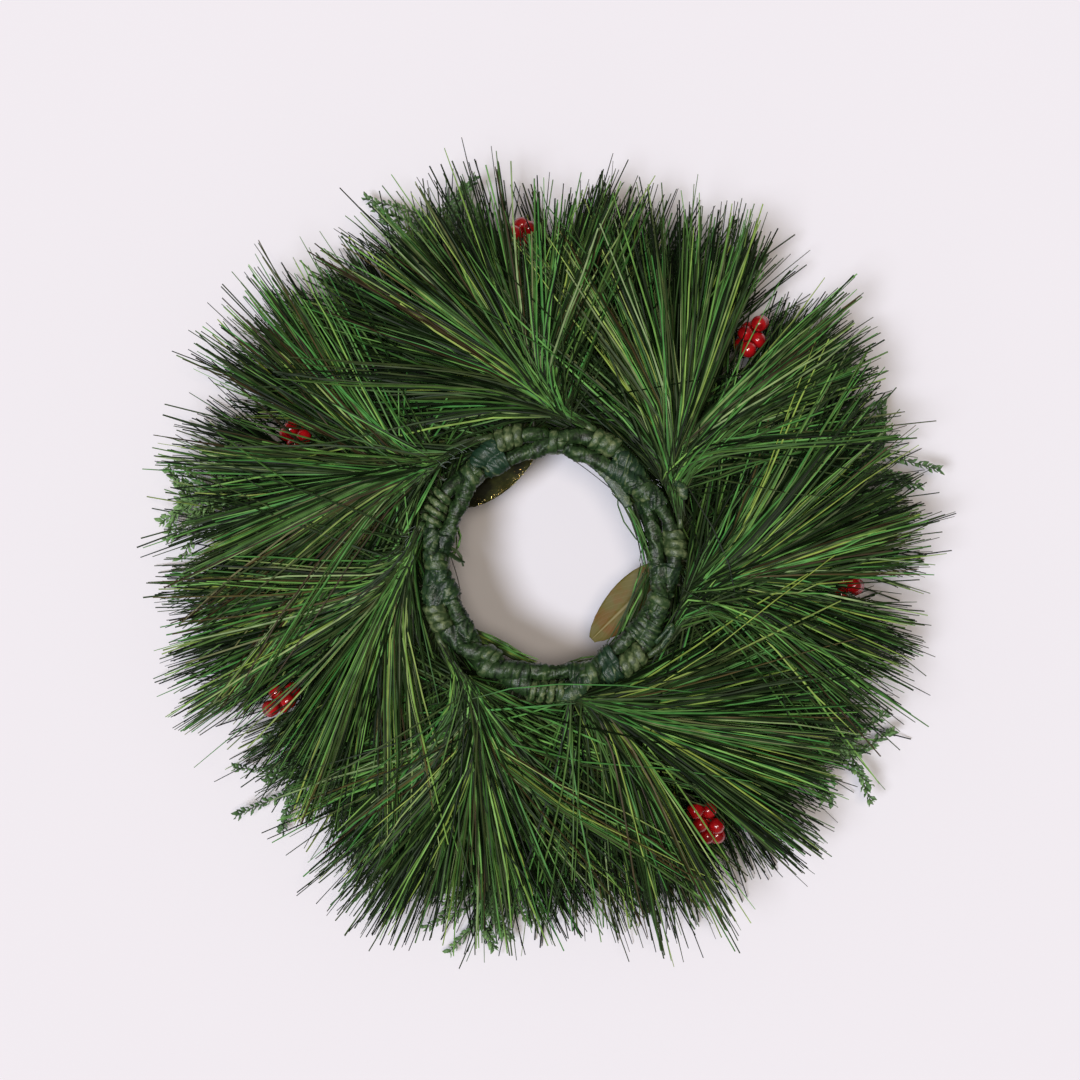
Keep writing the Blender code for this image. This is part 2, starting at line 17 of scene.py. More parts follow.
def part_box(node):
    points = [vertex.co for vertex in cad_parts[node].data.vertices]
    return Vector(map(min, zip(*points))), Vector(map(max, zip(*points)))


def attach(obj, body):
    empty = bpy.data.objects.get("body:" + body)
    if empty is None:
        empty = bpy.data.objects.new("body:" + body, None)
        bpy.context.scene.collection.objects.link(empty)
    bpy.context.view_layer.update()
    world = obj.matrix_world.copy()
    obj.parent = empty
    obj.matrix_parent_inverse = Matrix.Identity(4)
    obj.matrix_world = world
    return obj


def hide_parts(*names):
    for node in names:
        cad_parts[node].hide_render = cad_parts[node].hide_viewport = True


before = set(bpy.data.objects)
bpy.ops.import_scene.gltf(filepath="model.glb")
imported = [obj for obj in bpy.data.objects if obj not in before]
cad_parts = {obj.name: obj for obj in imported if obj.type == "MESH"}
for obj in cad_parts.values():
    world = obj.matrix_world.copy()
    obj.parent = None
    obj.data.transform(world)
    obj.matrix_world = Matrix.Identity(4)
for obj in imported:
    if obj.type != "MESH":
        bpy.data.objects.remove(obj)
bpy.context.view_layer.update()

bl_info = {
    "name": "Christmas wreath",
    "version": (1, 0, 0),
    "blender": (4, 5, 0),
    "location": "View3D > Sidebar > Wreath",
    "description": "Dresses a wired wreath with taped strands, pine needles, berries and leaves",
    "category": "Object",
}

MM = 0.001
BODY = "root"
UP = Vector((0.0, 0.0, 1.0))
NOISE_SEED = 5      # without it the creases of the tape differ from run to run

# The ring, as the frame has it: angles are degrees, anticlockwise from +X seen from above
RING_RADIUS = 55.2 * MM
RING_OVAL = 1.3 * MM
RING_HEIGHT = (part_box("ring_strand_1")[0].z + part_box("ring_strand_1")[1].z) / 2.0
PAIR_CLOSE = 3.1 * MM       # from the ring's circle to a strand's axis where the strands twist
PAIR_OPEN = 4.15 * MM       # and where a coil holds them apart
COIL_RADIUS = 4.9 * MM      # from the ring's circle out to a coil's axis
COIL_REACH = 4.0 * MM       # from a coil's axis to the middle of its wire
DWELL_ANGLE = 9.0           # to each side of a coil, where the strands lie straight
OPENING_ANGLE = 9.0         # over which they come apart
COIL_ANGLES = [8.5, 66.0, 109.5, 155.7, 207.0, 268.7, 310.0]
COIL_TURNS = [3.25, 3.25, 3.25, 4.25, 3.25, 4.25, 3.25]
HALF_TWISTS = [1, 1, 1, 1, 2, 1, 1]
COIL_PITCH = 4.2 * MM
LONG_COIL_TURNS = 4.0       # a coil with more turns than this has a narrower band
LONG_COIL_BAND = 3.0 * MM

# Upper picks, whose bunches show on the back
UPPER_ROOT_ANGLES = [38.0, 91.0, 146.0, 182.0, 241.0, 285.0, 350.0]
UPPER_ROOT_RADII = [69.0, 72.0, 75.0, 68.0, 73.0, 68.5, 68.0]
UPPER_LEANS = [22.0, 29.0, 34.0, 56.0, 31.0, 49.0, 22.0]
UPPER_ROOT_HEIGHT = 60.0 * MM
UPPER_TILT = -7.0
UPPER_TILTS = (-21.0, 1.0)              # of the needles, and of those on the stem
UPPER_RUN_TILTS = (-16.0, -1.0)
UPPER_RUN_SPREAD = (-32.0, 82.0)        # to either side of straight out
UPPER_RUN_REACH = 24.0 * MM             # how much of the stem has needles

# Each upper bunch's fan: how far its needles turn to either side of its axis (degrees), how far they
# follow the wire before they turn out (share) and how full it is
UPPER_FANS = [
    (-58.0, 78.0, 0.35, 1.1),
    (-50.0, 66.0, 0.35, 1.05),
    (-56.0, 58.0, 0.3, 1.0),
    (-58.0, 40.0, 0.35, 0.95),
    (-64.0, 64.0, 0.95, 1.05),
    (-52.0, 52.0, 0.4, 1.0),
    (-54.0, 62.0, 0.4, 1.05),
]

# Lower picks, which make the wreath's face
TIE_ANGLES = [37.0, 88.0, 132.6, 181.0, 238.0, 289.0, 339.0]
LOWER_ROOT_ANGLES = [64.0, 118.0, 164.0, 211.0, 263.0, 306.0, 372.0]
LOWER_ROOT_RADIUS = 63.0 * MM
LOWER_ROOT_HEIGHT = 49.5 * MM
LOWER_LEAN = 48.0
LOWER_TILT = -14.0
LOWER_SPREAD = (-76.0, 44.0)
LOWER_TILTS = (-27.0, -6.0)
LOWER_BOW = 0.35
LOWER_RUN_TILTS = (-20.0, -3.0)
LOWER_RUN_SPREAD = (-82.0, 92.0)
LOWER_RUN_REACH = 27.0 * MM
END_LENGTH = 2.5 * MM
TIE_TURNS = 1.5
TIE_PITCH = 2.5 * MM        # of the wire in the frame
TIE_BAND_PITCH = 3.6 * MM   # of the band of tape over it
TIE_REACH = 6.95 * MM
CORE_LENGTH = 20.0 * MM     # of the twisted end of a pick's wire

# Needles: the room that they leave round other things, and what share of them is gathered in tufts,
# springs early from the wire, is short, lies close along the ring, ends well short of the outline,
# strays beyond it, and is nearly straight
LOWEST_NEEDLE = 1.8 * MM
SHORTEST_NEEDLE = 22.0 * MM
HOLE_RADIUS = 50.5 * MM
NEEDLE_GAP = 0.3 * MM
STRAND_ROOM = 3.6 * MM
COIL_ROOM = 4.5 * MM
STEM_ROOM = 1.5 * MM
BERRY_ROOM = 4.1 * MM
GATHERED = 0.74
EARLY = 0.16
SHORT = 0.14
HUGGING = 0.32
TRAILING = 0.68
STRAY = 0.035
CALM = 0.9
STRIP_PROFILE = [0.62, 0.97, 1.0, 0.96, 1.0]        # width of a needle from root to tip

# Berry sprays: lower pick that carries each, its place (degrees, mm, mm) and number of berries. The
# frame's draws, which turn the berries round their wire, begin with the seed
FRAME_SEED = 20
BERRY_SPRAYS = [
    (0, 48.4, 150.0, 27.0, 7),
    (1, 95.0, 160.0, 22.0, 4),
    (2, 154.0, 138.0, 26.0, 5),
    (3, 207.5, 150.0, 27.0, 6),
    (4, 272.0, 60.0, 29.0, 4),
    (5, 301.0, 152.0, 26.0, 8),
    (6, 355.0, 145.0, 24.0, 4),
]
BERRY_STEP = 2.7 * MM
BERRY_TURN = 132.0
BERRY_SEAT = 0.25           # how far along the stem that carries it
STEM_RADIUS = 1.0 * MM
WIRE_RADIUS = 0.9 * MM
WIRE_GAP = 0.3 * MM
WIRE_OFFSET = STEM_RADIUS + WIRE_GAP + WIRE_RADIUS
WIRE_LEVEL = 0.38           # how far out a wire stays level before it comes down

# What shows between the needles: berries (spray and number), and spots to either side of a
# small-leaf spray (degrees from it, mm from the axis), with the width of the gap at each and the
# share of needles that cross it all the same
BERRIES_IN_VIEW = [(0, 7), (3, 6), (5, 8), (2, 2), (1, 1), (6, 1)]
BERRY_WINDOW = 6.2 * MM
BERRIES_CROSSED = 0.05
LEAF_SPOTS = [
    (-10.0, 186.0), (-7.0, 181.0), (-3.5, 176.0), (0.0, 173.0), (0.0, 187.0), (3.5, 181.0),
    (7.0, 177.0), (9.5, 187.0)]
LEAF_WINDOW = 5.5 * MM
LEAVES_CROSSED = 0.25

# Small-leaf sprays: lower pick that carries each, and its place (degrees, mm, mm)
LEAFY_SPRAYS = [
    (1, 110.0, 178.0, 16.0),
    (2, 171.0, 184.0, 17.0),
    (3, 222.0, 172.0, 14.0),
    (4, 259.0, 180.0, 15.0),
    (5, 328.0, 178.0, 16.0),
    (6, 18.0, 172.0, 14.0),
]
LEAF_TONES = [0.65, 1.0, 0.5, 0.75, 0.7, 0.5]       # how pale the leaves of each spray are
OUTERMOST_LEAF = 199.0 * MM
LEAFY_SEAT = 0.60
LEAF_TURN = 137.5           # from each small leaf to the next round its twig
LOWEST_LEAF = 2.0 * MM
LOWEST_TWIG = 4.5 * MM

# Broad leaves: carrying pick, then base and tip (degrees, mm, mm) of the two under the ring
INNER_LEAVES = [
    (2, (150.0, 56.0, 44.5), (97.0, 56.0, 40.0)),
    (6, (358.0, 56.0, 44.5), (297.5, 42.5, 40.0)),
]
INNER_LEAF_SEAT = 0.50
INNER_LEAF_WIDTH = 21.0 * MM
INNER_LEAF_ROWS = 7
OUTER_LEAVES = [2, 4, 6]
OUTER_LEAF_SEAT = 0.82
OUTER_LEAF_WIDTH = 25.0 * MM
LEAF_LIFT = 0.8 * MM
LEAF_SAG = 1.5 * MM
BLADE_ROWS = 48
BLADE_COLUMNS = 20
BLADE_THICKNESS = 0.4 * MM
LOWEST_BLADE = 0.5 * MM
STALK_DROP = 0.9 * MM       # from the blade's upper face to the end of its stalk
VEINS = 11.0
VEIN_SLANT = 0.34
FLECK_FACES = [(0, 2, 4), (2, 1, 4), (1, 3, 4), (3, 0, 4), (2, 0, 5), (1, 2, 5), (3, 1, 5), (0, 3, 5)]
OUTER_SPINE = [     # of the leaves on the floor: mm from the axis and above LEAF_LIFT
    (67.0, 42.0), (76.0, 27.5), (84.0, 13.5), (90.0, 4.5), (96.0, 0.0), (104.0, 0.0), (112.0, 0.0),
    (118.0, 0.0), (127.0, 3.0),
]

# How finely tape is shaped, and the pitch and size of its folds
STRAND_RINGS = 900
STRAND_SIDES = 26
SEAM_ANGLE = 2.0
SPIRAL_LEAD = 48.0 * MM
SPIRAL_FOLD = 1.9 * MM
BAND_SIDES = 20
COIL_STEPS = 26
TIE_STEPS = 30
SLEEVE_STEP = 0.38 * MM
SLEEVE_SIDES = 60
SLEEVE_FOLD = 2.3 * MM

# Relief of the tape from each coil to the next: pitch and depth of its ribs on the strand that lies
# outside, then on the one that lies inside, in mm
TAPE_RIBS = [
    (2.4, 0.12, 3.6, 0.14),
    (1.3, 0.13, 4.1, 0.18),
    (1.4, 0.17, 3.3, 0.16),
    (3.6, 0.14, 4.3, 0.22),
    (2.6, 0.20, 3.9, 0.20),
    (2.2, 0.20, 3.2, 0.18),
    (3.8, 0.10, 3.0, 0.22),
]

# Sleeves of loose tape round both strands: angle, half its length (degrees), how much it stands off
# the strands (mm), depth of its folds (mm), the way that they run (0 across the ring, 90 along it),
# pitch of its ribs (mm, 0 for none) and how blue it is
TAPE_SLEEVES = [
    (37.0, 10.5, 1.1, 1.3, 65.0, 0.0, 0.25),
    (50.5, 8.5, 0.5, 0.9, 30.0, 0.0, 0.6),
    (85.0, 5.5, 0.0, 0.7, 15.0, 2.2, 0.1),
    (121.5, 8.0, 0.7, 1.1, 35.0, 0.0, 1.0),
    (134.0, 4.5, 0.5, 0.9, -30.0, 0.0, 0.1),
    (170.0, 5.5, 0.3, 1.0, 70.0, 0.0, 0.2),
    (182.0, 9.0, 0.6, 1.2, 80.0, 0.0, 0.4),
    (196.5, 6.5, 1.0, 1.3, 60.0, 0.0, 0.35),
    (219.0, 6.0, 0.6, 1.1, 60.0, 0.0, 0.15),
    (236.0, 13.0, 0.5, 0.9, 20.0, 4.4, 0.05),
    (252.5, 8.0, 0.6, 0.9, 10.0, 3.9, 0.1),
    (288.0, 9.0, 0.5, 1.15, -20.0, 0.0, 0.3),
    (299.5, 5.0, 1.0, 1.3, 5.0, 0.0, 0.8),
    (323.0, 6.0, 0.3, 0.9, 25.0, 2.9, 0.15),
    (338.0, 7.0, 0.5, 1.1, 70.0, 0.0, 0.2),
    (354.0, 5.0, 0.2, 0.8, 80.0, 0.0, 0.3),
]

# Loose ends of tape: half width and half thickness (mm), and the way that each runs (mm): a flap
# in the hole, a folded loop, the blunt end of a coil, and the end of a stem
TAPE_ENDS = [
    (3.0, 0.7, [(15.5, 50.5, 61.0), (24.0, 43.5, 61.5), (31.0, 35.5, 62.0), (36.5, 25.5, 62.5)]),
    (1.2, 0.9, [(49.0, -38.5, 65.0), (53.5, -33.0, 67.0), (56.3, -30.2, 66.5), (56.0, -33.6, 65.5),
                (51.5, -41.0, 64.5)]),
    (3.4, 2.7, [(2.5, -63.4, 62.5), (9.5, -62.2, 64.3), (16.0, -59.6, 63.8)]),
    (2.3, 1.9, [(57.5, 38.0, 61.0), (61.5, 34.0, 63.3), (62.8, 29.0, 62.8)]),
]

# Loose bits round the hole, in mm from the axis and above the floor
HOLE_WIRES = [
    [(6.0, 51.0, 55.0), (20.0, 41.0, 53.0), (39.5, 25.0, 55.0)],
    [(8.0, 52.5, 56.0), (23.0, 41.5, 54.0), (40.5, 29.0, 55.5)],
    [(-48.5, 5.0, 55.5), (-43.6, -11.0, 54.0), (-43.2, -25.5, 56.0)],
]
HOLE_NEEDLES = [      # number, scatter (mm), width, palest tone, and the way that they run (mm)
    (3, 0.9, 1.0, 0.7, [(12.0, 53.0, 57.0), (26.0, 42.5, 55.5), (41.0, 26.0, 57.0)]),
    (28, 1.6, 0.9, 0.85, [(-37.0, -34.5, 54.0), (-23.0, -41.4, 52.0), (-8.0, -49.0, 55.0)]),
    (20, 2.6, 0.85, 0.8, [(29.5, -43.0, 52.0), (39.5, -24.5, 50.5), (46.5, -3.0, 54.0)]),
    (3, 0.8, 1.0, 0.85, [(-48.5, 21.5, 57.0), (-44.4, 12.0, 56.0), (-47.4, 2.0, 57.0)]),
    (3, 0.9, 1.0, 0.7, [(2.0, -50.5, 55.0), (14.0, -46.5, 53.0), (27.0, -45.0, 55.0)]),
    (1, 0.0, 0.7, 0.85, [(-37.0, -64.5, 66.5), (4.0, -57.5, 70.0), (66.0, -61.5, 65.0)]),
    (14, 1.9, 0.8, 0.72, [(29.5, 34.5, 58.0), (38.6, 18.0, 60.0), (46.2, -2.0, 61.0)]),
    (18, 1.7, 1.3, 0.3, [(34.0, 38.0, 54.0), (43.0, 21.5, 55.0), (49.0, 0.0, 56.0)]),
    (2, 0.8, 3.2, 0.9, [(9.0, 53.0, 57.0), (19.0, 48.0, 56.0), (29.0, 39.0, 57.0)]),
    (4, 1.2, 2.0, 0.62, [(-50.0, 5.5, 60.0), (-45.5, 2.5, 61.0), (-40.5, -1.0, 60.5)]),
]
UNDER_RING_NEEDLES = 420
FRAYED_SPOTS = [(132.0, 66.0, 16), (173.0, 66.5, 10)]       # degrees, mm and number of fibres

# The floor reaches so far to each side that its edge is out of sight, and lies just under the wreath
FLOOR_REACH = 12.0
FLOOR_DROP = 0.3 * MM
TOP_LIGHT_HEIGHT = 87.0

# Distance from the axis that the needles reach, in mm, at every 15 degrees
OUTLINE = [
    175.0, 181.0, 178.0, 189.0, 186.0, 182.0, 170.0, 204.0, 189.0, 187.0, 199.0, 193.0,
    184.0, 189.0, 192.0, 180.0, 197.0, 188.0, 177.0, 185.0, 189.0, 191.0, 182.0, 174.0,
]


def polar(angle, radius, height):
    """A point by its angle in degrees, its distance from the axis and its height."""
    turn = math.radians(angle)
    return Vector((radius * math.cos(turn), radius * math.sin(turn), height))


def heading(azimuth, tilt):
    """A unit direction by its azimuth and its tilt above the horizontal, in degrees."""
    flat = math.cos(math.radians(tilt))
    turn = math.radians(azimuth)
    return Vector((flat * math.cos(turn), flat * math.sin(turn), math.sin(math.radians(tilt))))


def polar_mm(angle, radius, height):
    """The same point, with its lengths in millimetres."""
    return polar(angle, radius * MM, height * MM)


def clamped(value):
    """The nearest number from 0 to 1."""
    return min(max(value, 0.0), 1.0)


def smooth_step(value):
    """A soft step from 0 to 1."""
    value = clamped(value)
    return value * value * (3.0 - 2.0 * value)


def blend(first, second, share):
    return first * (1.0 - share) + second * share


def bezier(first, second, third, fourth, share):
    """A point of a cubic curve by its four control points."""
    rest = 1.0 - share
    return (first * rest ** 3 + second * (3.0 * rest * rest * share)
            + third * (3.0 * rest * share * share) + fourth * share ** 3)


def bezier_path(first, second, third, fourth, steps):
    return [bezier(first, second, third, fourth, step / steps) for step in range(steps + 1)]


def outward(point):
    """The level direction away from the ring's axis."""
    return Vector((point.x, point.y, 0.0)).normalized()


def arc_to_angle(length, radius):
    return math.degrees(length / radius)


def axes_beside(way):
    """The level axis square to a direction, and the one square to both."""
    side = way.cross(UP).normalized()
    return side, side.cross(way)


def step_at(path, share):
    """The step of a line at a share of its way, and how far along that step."""
    spot = share * (len(path) - 1)
    index = min(int(spot), len(path) - 2)
    return index, spot - index


def link_object(name, data):
    """A new object in the scene."""
    item = bpy.data.objects.new(name, data)
    bpy.context.scene.collection.objects.link(item)
    return item


class Room:
    """The round bars that are already placed, so that needles can keep clear of them."""

    def __init__(self):
        self.starts = np.zeros((0, 3))
        self.ends = np.zeros((0, 3))
        self.radii = np.zeros(0)

    def add(self, points, radius):
        """Bars along a line of points; a single point is a ball."""
        places = np.array([tuple(point) for point in points])
        if len(places) == 1:
            places = np.vstack([places, places + (0.0, 0.0, 0.01 * MM)])
        self.starts = np.vstack([self.starts, places[:-1]])
        self.ends = np.vstack([self.ends, places[1:]])
        self.radii = np.concatenate([self.radii, np.full(len(places) - 1, radius)])

    def clearance(self, starts, ends):
        """For each line, the least distance between it and the surface of a bar that is here."""
        least = []
        for first in range(0, len(starts), 250):
            start = starts[first:first + 250, None, :]
            line = ends[first:first + 250, None, :] - start
            others = (self.ends - self.starts)[None]
            between = start - self.starts[None]
            line_square = (line * line).sum(axis=2)
            other_squares = (others * others).sum(axis=2)
            mixed = (line * others).sum(axis=2)
            along_line = (line * between).sum(axis=2)
            along_other = (others * between).sum(axis=2)
            spread = np.maximum(line_square * other_squares - mixed * mixed, 1e-18)
            share = np.clip((mixed * along_other - along_line * other_squares) / spread, 0.0, 1.0)
            other_share = np.clip((mixed * share + along_other) / other_squares, 0.0, 1.0)
            share = np.clip((mixed * other_share - along_line) / line_square, 0.0, 1.0)
            apart = between + share[..., None] * line - other_share[..., None] * others
            least.append((np.sqrt((apart * apart).sum(axis=2)) - self.radii[None]).min(axis=1))
        return np.concatenate(least)


class Heap:
    """Shapes gathered into one mesh, each point with a tone and a place along its shape."""

    def __init__(self):
        self.points = []
        self.faces = []
        self.slots = []
        self.tones = []
        self.alongs = []
        self.count = 0

    def add(self, points, faces, tone=0.5, along=0.5, slot=0):
        points = np.asarray(points, dtype=float).reshape(-1, 3)
        self.points.append(points)
        self.faces.extend([tuple(self.count + corner for corner in face) for face in faces])
        self.slots.extend([slot] * len(faces))
        self.tones.append(np.broadcast_to(np.asarray(tone, dtype=float), len(points)))
        self.alongs.append(np.broadcast_to(np.asarray(along, dtype=float), len(points)))
        self.count += len(points)

    def build(self, name, materials, smooth=True):
        """One object of all the shapes, with faces that point outwards."""
        mesh = bpy.data.meshes.new(name)
        mesh.from_pydata(np.vstack(self.points).tolist(), [], self.faces)
        for attribute, values in (("tone", self.tones), ("along", self.alongs)):
            held = mesh.attributes.new(attribute, "FLOAT", "POINT")
            held.data.foreach_set("value", np.concatenate(values).astype(np.float32))
        mesh.polygons.foreach_set("material_index", self.slots)
        cage = bmesh.new()
        cage.from_mesh(mesh)
        bmesh.ops.recalc_face_normals(cage, faces=cage.faces)
        cage.to_mesh(mesh)
        cage.free()
        for material in materials:
            mesh.materials.append(material)
        mesh.polygons.foreach_set("use_smooth", [smooth] * len(mesh.polygons))
        mesh.update()
        return link_object(name, mesh)


def settle(piece, slot_name, *nodes):
    """The piece rides on the wreath and stands for its nodes. slot_name is not used."""
    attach(piece, BODY)
    if nodes:
        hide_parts(*nodes)


def loft_faces(rings, sides, closed):
    """Quads between rings of points, with a face over each end unless the loft is closed."""
    faces = []
    for ring in range(rings if closed else rings - 1):
        here = ring * sides
        there = (ring + 1) % rings * sides
        for side in range(sides):
            beside = (side + 1) % sides
            faces.append((here + side, here + beside, there + beside, there + side))
    if not closed:
        faces.append(tuple(reversed(range(sides))))
        faces.append(tuple(range((rings - 1) * sides, rings * sides)))
    return faces


def section_axes(points, index, closed, level):
    """The two axes of a tube's section at a point: one lies as near as it can to level."""
    if closed:
        before, after = points[index - 1], points[(index + 1) % len(points)]
    else:
        before, after = points[max(index - 1, 0)], points[min(index + 1, len(points) - 1)]
    way = (after - before).normalized()
    out = (level - way * level.dot(way)).normalized()
    return out, way.cross(out)


def add_tube(heap, points, radius, sides, tone=0.5, slot=0, tip_share=1.0):
    """A plain round wire through the points, thinner at its far end by tip_share."""
    places = []
    steep = abs((points[-1] - points[0]).normalized().z) > 0.9
    level = Vector((1.0, 0.0, 0.0)) if steep else UP
    for index in range(len(points)):
        out, up = section_axes(points, index, False, level)
        reach = radius * (1.0 + (tip_share - 1.0) * index / (len(points) - 1))
        for side in range(sides):
            turn = math.tau * side / sides
            places.append(points[index] + (out * math.cos(turn) + up * math.sin(turn)) * reach)
    along = np.repeat(np.linspace(0.0, 1.0, len(points)), sides)
    heap.add(places, loft_faces(len(points), sides, False), tone, along, slot)


def smooth_line(points, steps):
    """Points of a smooth curve through the given ones."""
    line = []
    for index in range(len(points) - 1):
        before = points[max(index - 1, 0)]
        start, end = points[index], points[index + 1]
        after = points[min(index + 2, len(points) - 1)]
        for step in range(steps):
            line.append(bezier(
                start, start + (end - before) / 6.0, end - (after - start) / 6.0, end, step / steps))
    return line + [points[-1]]


def ring_radius(angle):
    return RING_RADIUS - RING_OVAL * math.cos(math.radians(2.0 * angle))


def coil_before(angle):
    """The last coil before an angle, and the angles from it and to the next one."""
    angle = angle % 360.0
    if angle < COIL_ANGLES[0]:
        angle += 360.0
    last_coil = max(index for index, coil in enumerate(COIL_ANGLES) if coil <= angle)
    since = angle - COIL_ANGLES[last_coil]
    to_next = (COIL_ANGLES + [COIL_ANGLES[0] + 360.0])[last_coil + 1] - angle
    return last_coil, since, to_next


def pair_state(angle):
    """The strands' twist in half turns, and their distance from the ring's circle."""
    last_coil, since, to_next = coil_before(angle)
    twisting = (since - DWELL_ANGLE) / (since + to_next - 2.0 * DWELL_ANGLE)
    half_turns = sum(HALF_TWISTS[:last_coil]) + HALF_TWISTS[last_coil] * smooth_step(twisting)
    closing = smooth_step((min(since, to_next) - DWELL_ANGLE) / OPENING_ANGLE)
    return half_turns, PAIR_OPEN + (PAIR_CLOSE - PAIR_OPEN) * closing


def hull_reach(angle, turn, radius):
    """How far a wrapping that hugs both strands reaches at an angle of the ring, in a direction."""
    half_turns, apart = pair_state(angle)
    return radius + apart * abs(math.cos(turn - math.pi * half_turns)) ** 1.25


def beside_ring(angle, reach, turn):
    """A point beside the ring's circle: turn is 0 outwards and 90 upwards."""
    out = reach * math.cos(math.radians(turn))
    up = reach * math.sin(math.radians(turn))
    return polar(angle, ring_radius(angle) + out, RING_HEIGHT + up)


def strand_point(angle, which):
    half_turns, apart = pair_state(angle)
    return beside_ring(angle, apart, 180.0 * (half_turns + which))


def upper_root(index):
    """Where an upper pick's bunch begins; upper_heading is the way that it points."""
    return polar(UPPER_ROOT_ANGLES[index], UPPER_ROOT_RADII[index] * MM, UPPER_ROOT_HEIGHT)


def upper_heading(index):
    return heading(UPPER_ROOT_ANGLES[index] + UPPER_LEANS[index], UPPER_TILT)


def lower_root(index):
    return polar(LOWER_ROOT_ANGLES[index], LOWER_ROOT_RADIUS, LOWER_ROOT_HEIGHT)


def lower_heading(index):
    return heading(LOWER_ROOT_ANGLES[index] + LOWER_LEAN, LOWER_TILT)


def lower_run(index):
    """The way of a lower stem from its tie to its straight end, as four control points."""
    start = beside_ring(
        TIE_ANGLES[index] + TIE_TURNS / 2.0 * arc_to_angle(TIE_PITCH, RING_RADIUS), TIE_REACH, -90.0)
    end = lower_root(index) - lower_heading(index) * END_LENGTH
    span = (end - start).length
    leaving = start + heading(TIE_ANGLES[index] + 90.0, -9.0) * span * 0.36
    arriving = end - heading(LOWER_ROOT_ANGLES[index] + 72.0, -8.0) * span * 0.30
    return start, leaving, arriving, end


def seat_beside_run(index, share, offset_out, offset_up):
    """A wire's first point, laid against a lower stem: how far along it, and on which side."""
    point = bezier(*lower_run(index), share)
    return point + outward(point) * offset_out + Vector((0.0, 0.0, offset_up))


def wire_path(seat, end, steps):
    """A wire that leaves the ring level and then comes down to its end."""
    level = seat + outward(seat) * (end - seat).length * WIRE_LEVEL
    return bezier_path(seat, level, seat.lerp(end, 0.65), end, steps)


class Look:
    """A material, with short ways to add the nodes that lead to its shader."""

    def __init__(self, name, **constants):
        """The constants are values of the shader's own inputs, by name."""
        self.material = bpy.data.materials.new(name)
        self.material.use_nodes = True
        self.tree = self.material.node_tree
        self.shader = self.tree.nodes["Principled BSDF"]
        for key, value in constants.items():
            self.shader.inputs[key.replace("_", " ")].default_value = value

    def add(self, kind, **values):
        """A new node, with values for its settings and its inputs by name."""
        node = self.tree.nodes.new(kind)
        for key, value in values.items():
            if hasattr(node, key):
                setattr(node, key, value)
            else:
                node.inputs[key.replace("_", " ")].default_value = value
        return node

    def feed(self, value, socket):
        """Gives a socket its value: a number, a colour or another node's output."""
        if isinstance(value, float):
            socket.default_value = value
        elif isinstance(value, tuple):
            socket.default_value = (*value, 1.0)
        else:
            self.tree.links.new(value, socket)

    def held(self, name):
        """A number that the mesh holds at each of its points."""
        return self.add("ShaderNodeAttribute", attribute_name=name).outputs["Fac"]

    def grain(self, scale, detail):
        """Noise that stays on the surface, scaled to the metre."""
        place = self.add("ShaderNodeTexCoord")
        texture = self.add("ShaderNodeTexNoise", Scale=scale, Detail=detail, Roughness=0.55)
        self.feed(place.outputs["Object"], texture.inputs["Vector"])
        return texture.outputs["Fac"]

    def spread(self, value, low, high, bottom=0.0, top=1.0):
        """A value that goes from bottom to top where the given one goes from low to high."""
        node = self.add("ShaderNodeMapRange", From_Min=low, From_Max=high, To_Min=bottom, To_Max=top)
        self.feed(value, node.inputs["Value"])
        return node.outputs["Result"]

    def reckon(self, operation, *values):
        """What a sum of arithmetic gives for its values."""
        node = self.add("ShaderNodeMath", operation=operation)
        for value, socket in zip(values, node.inputs):
            self.feed(value, socket)
        return node.outputs[0]

    def mix(self, share, first, second):
        """One colour over another, by a share from 0 to 1 of the second."""
        node = self.add("ShaderNodeMix", data_type="RGBA")
        for value, socket in ((share, "Factor"), (first, 6), (second, 7)):
            self.feed(value, node.inputs[socket])
        return node.outputs[2]

    def ramp(self, value, stops):
        """The colour that a value has on a ramp of places from 0 to 1 and their colours."""
        node = self.add("ShaderNodeValToRGB")
        for place, _ in stops[1:-1]:
            node.color_ramp.elements.new(place)
        for element, (place, colour) in zip(node.color_ramp.elements, stops):
            element.position = place
            element.color = (*colour, 1.0)
        self.feed(value, node.inputs["Fac"])
        return node.outputs["Color"]

    def finish(self, colour, relief=None, depth=0.0, strength=1.0):
        """The material, with its colour and a relief of a given depth."""
        self.feed(colour, self.shader.inputs["Base Color"])
        if relief is not None:
            node = self.add("ShaderNodeBump", Strength=strength, Distance=depth)
            self.feed(relief, node.inputs["Height"])
            self.feed(node.outputs["Normal"], self.shader.inputs["Normal"])
        return self.material


def scaled(share, colour):
    return tuple(share * value for value in colour)


def tape_material(name, dark, light, wear_and_highlight, pale_ridges_from, blue=None):
    """Waxed paper tape: mottled, dark in its creases as painted shade, pale on its ridges partly as
    wear and partly as painted highlight, with a fine crinkle. blue is the colour that some of its
    folds lean to.
    """
    look = Look(name, Specular_IOR_Level=0.52)
    # patch is the mesh's tone, low in creases and high on ridges, times a mottle; its low end takes the
    # dark colour as painted shade
    patch = look.reckon("MULTIPLY", look.held("tone"), look.grain(380.0, 4.0))
    base = look.mix(look.spread(patch, 0.09, 0.30), dark, light)
    if blue:
        base = look.mix(look.held("along"), base, blue)
    gloss = look.spread(look.grain(600.0, 2.0), 0.0, 1.0, 0.28, 0.52)
    look.feed(gloss, look.shader.inputs["Roughness"])
    # Past the threshold the ridges take the pale colour: partly wear, partly painted highlight
    return look.finish(
        look.mix(look.spread(patch, pale_ridges_from, pale_ridges_from + 0.22), base, wear_and_highlight),
        look.grain(1300.0, 4.0), 0.35 * MM, 0.7)


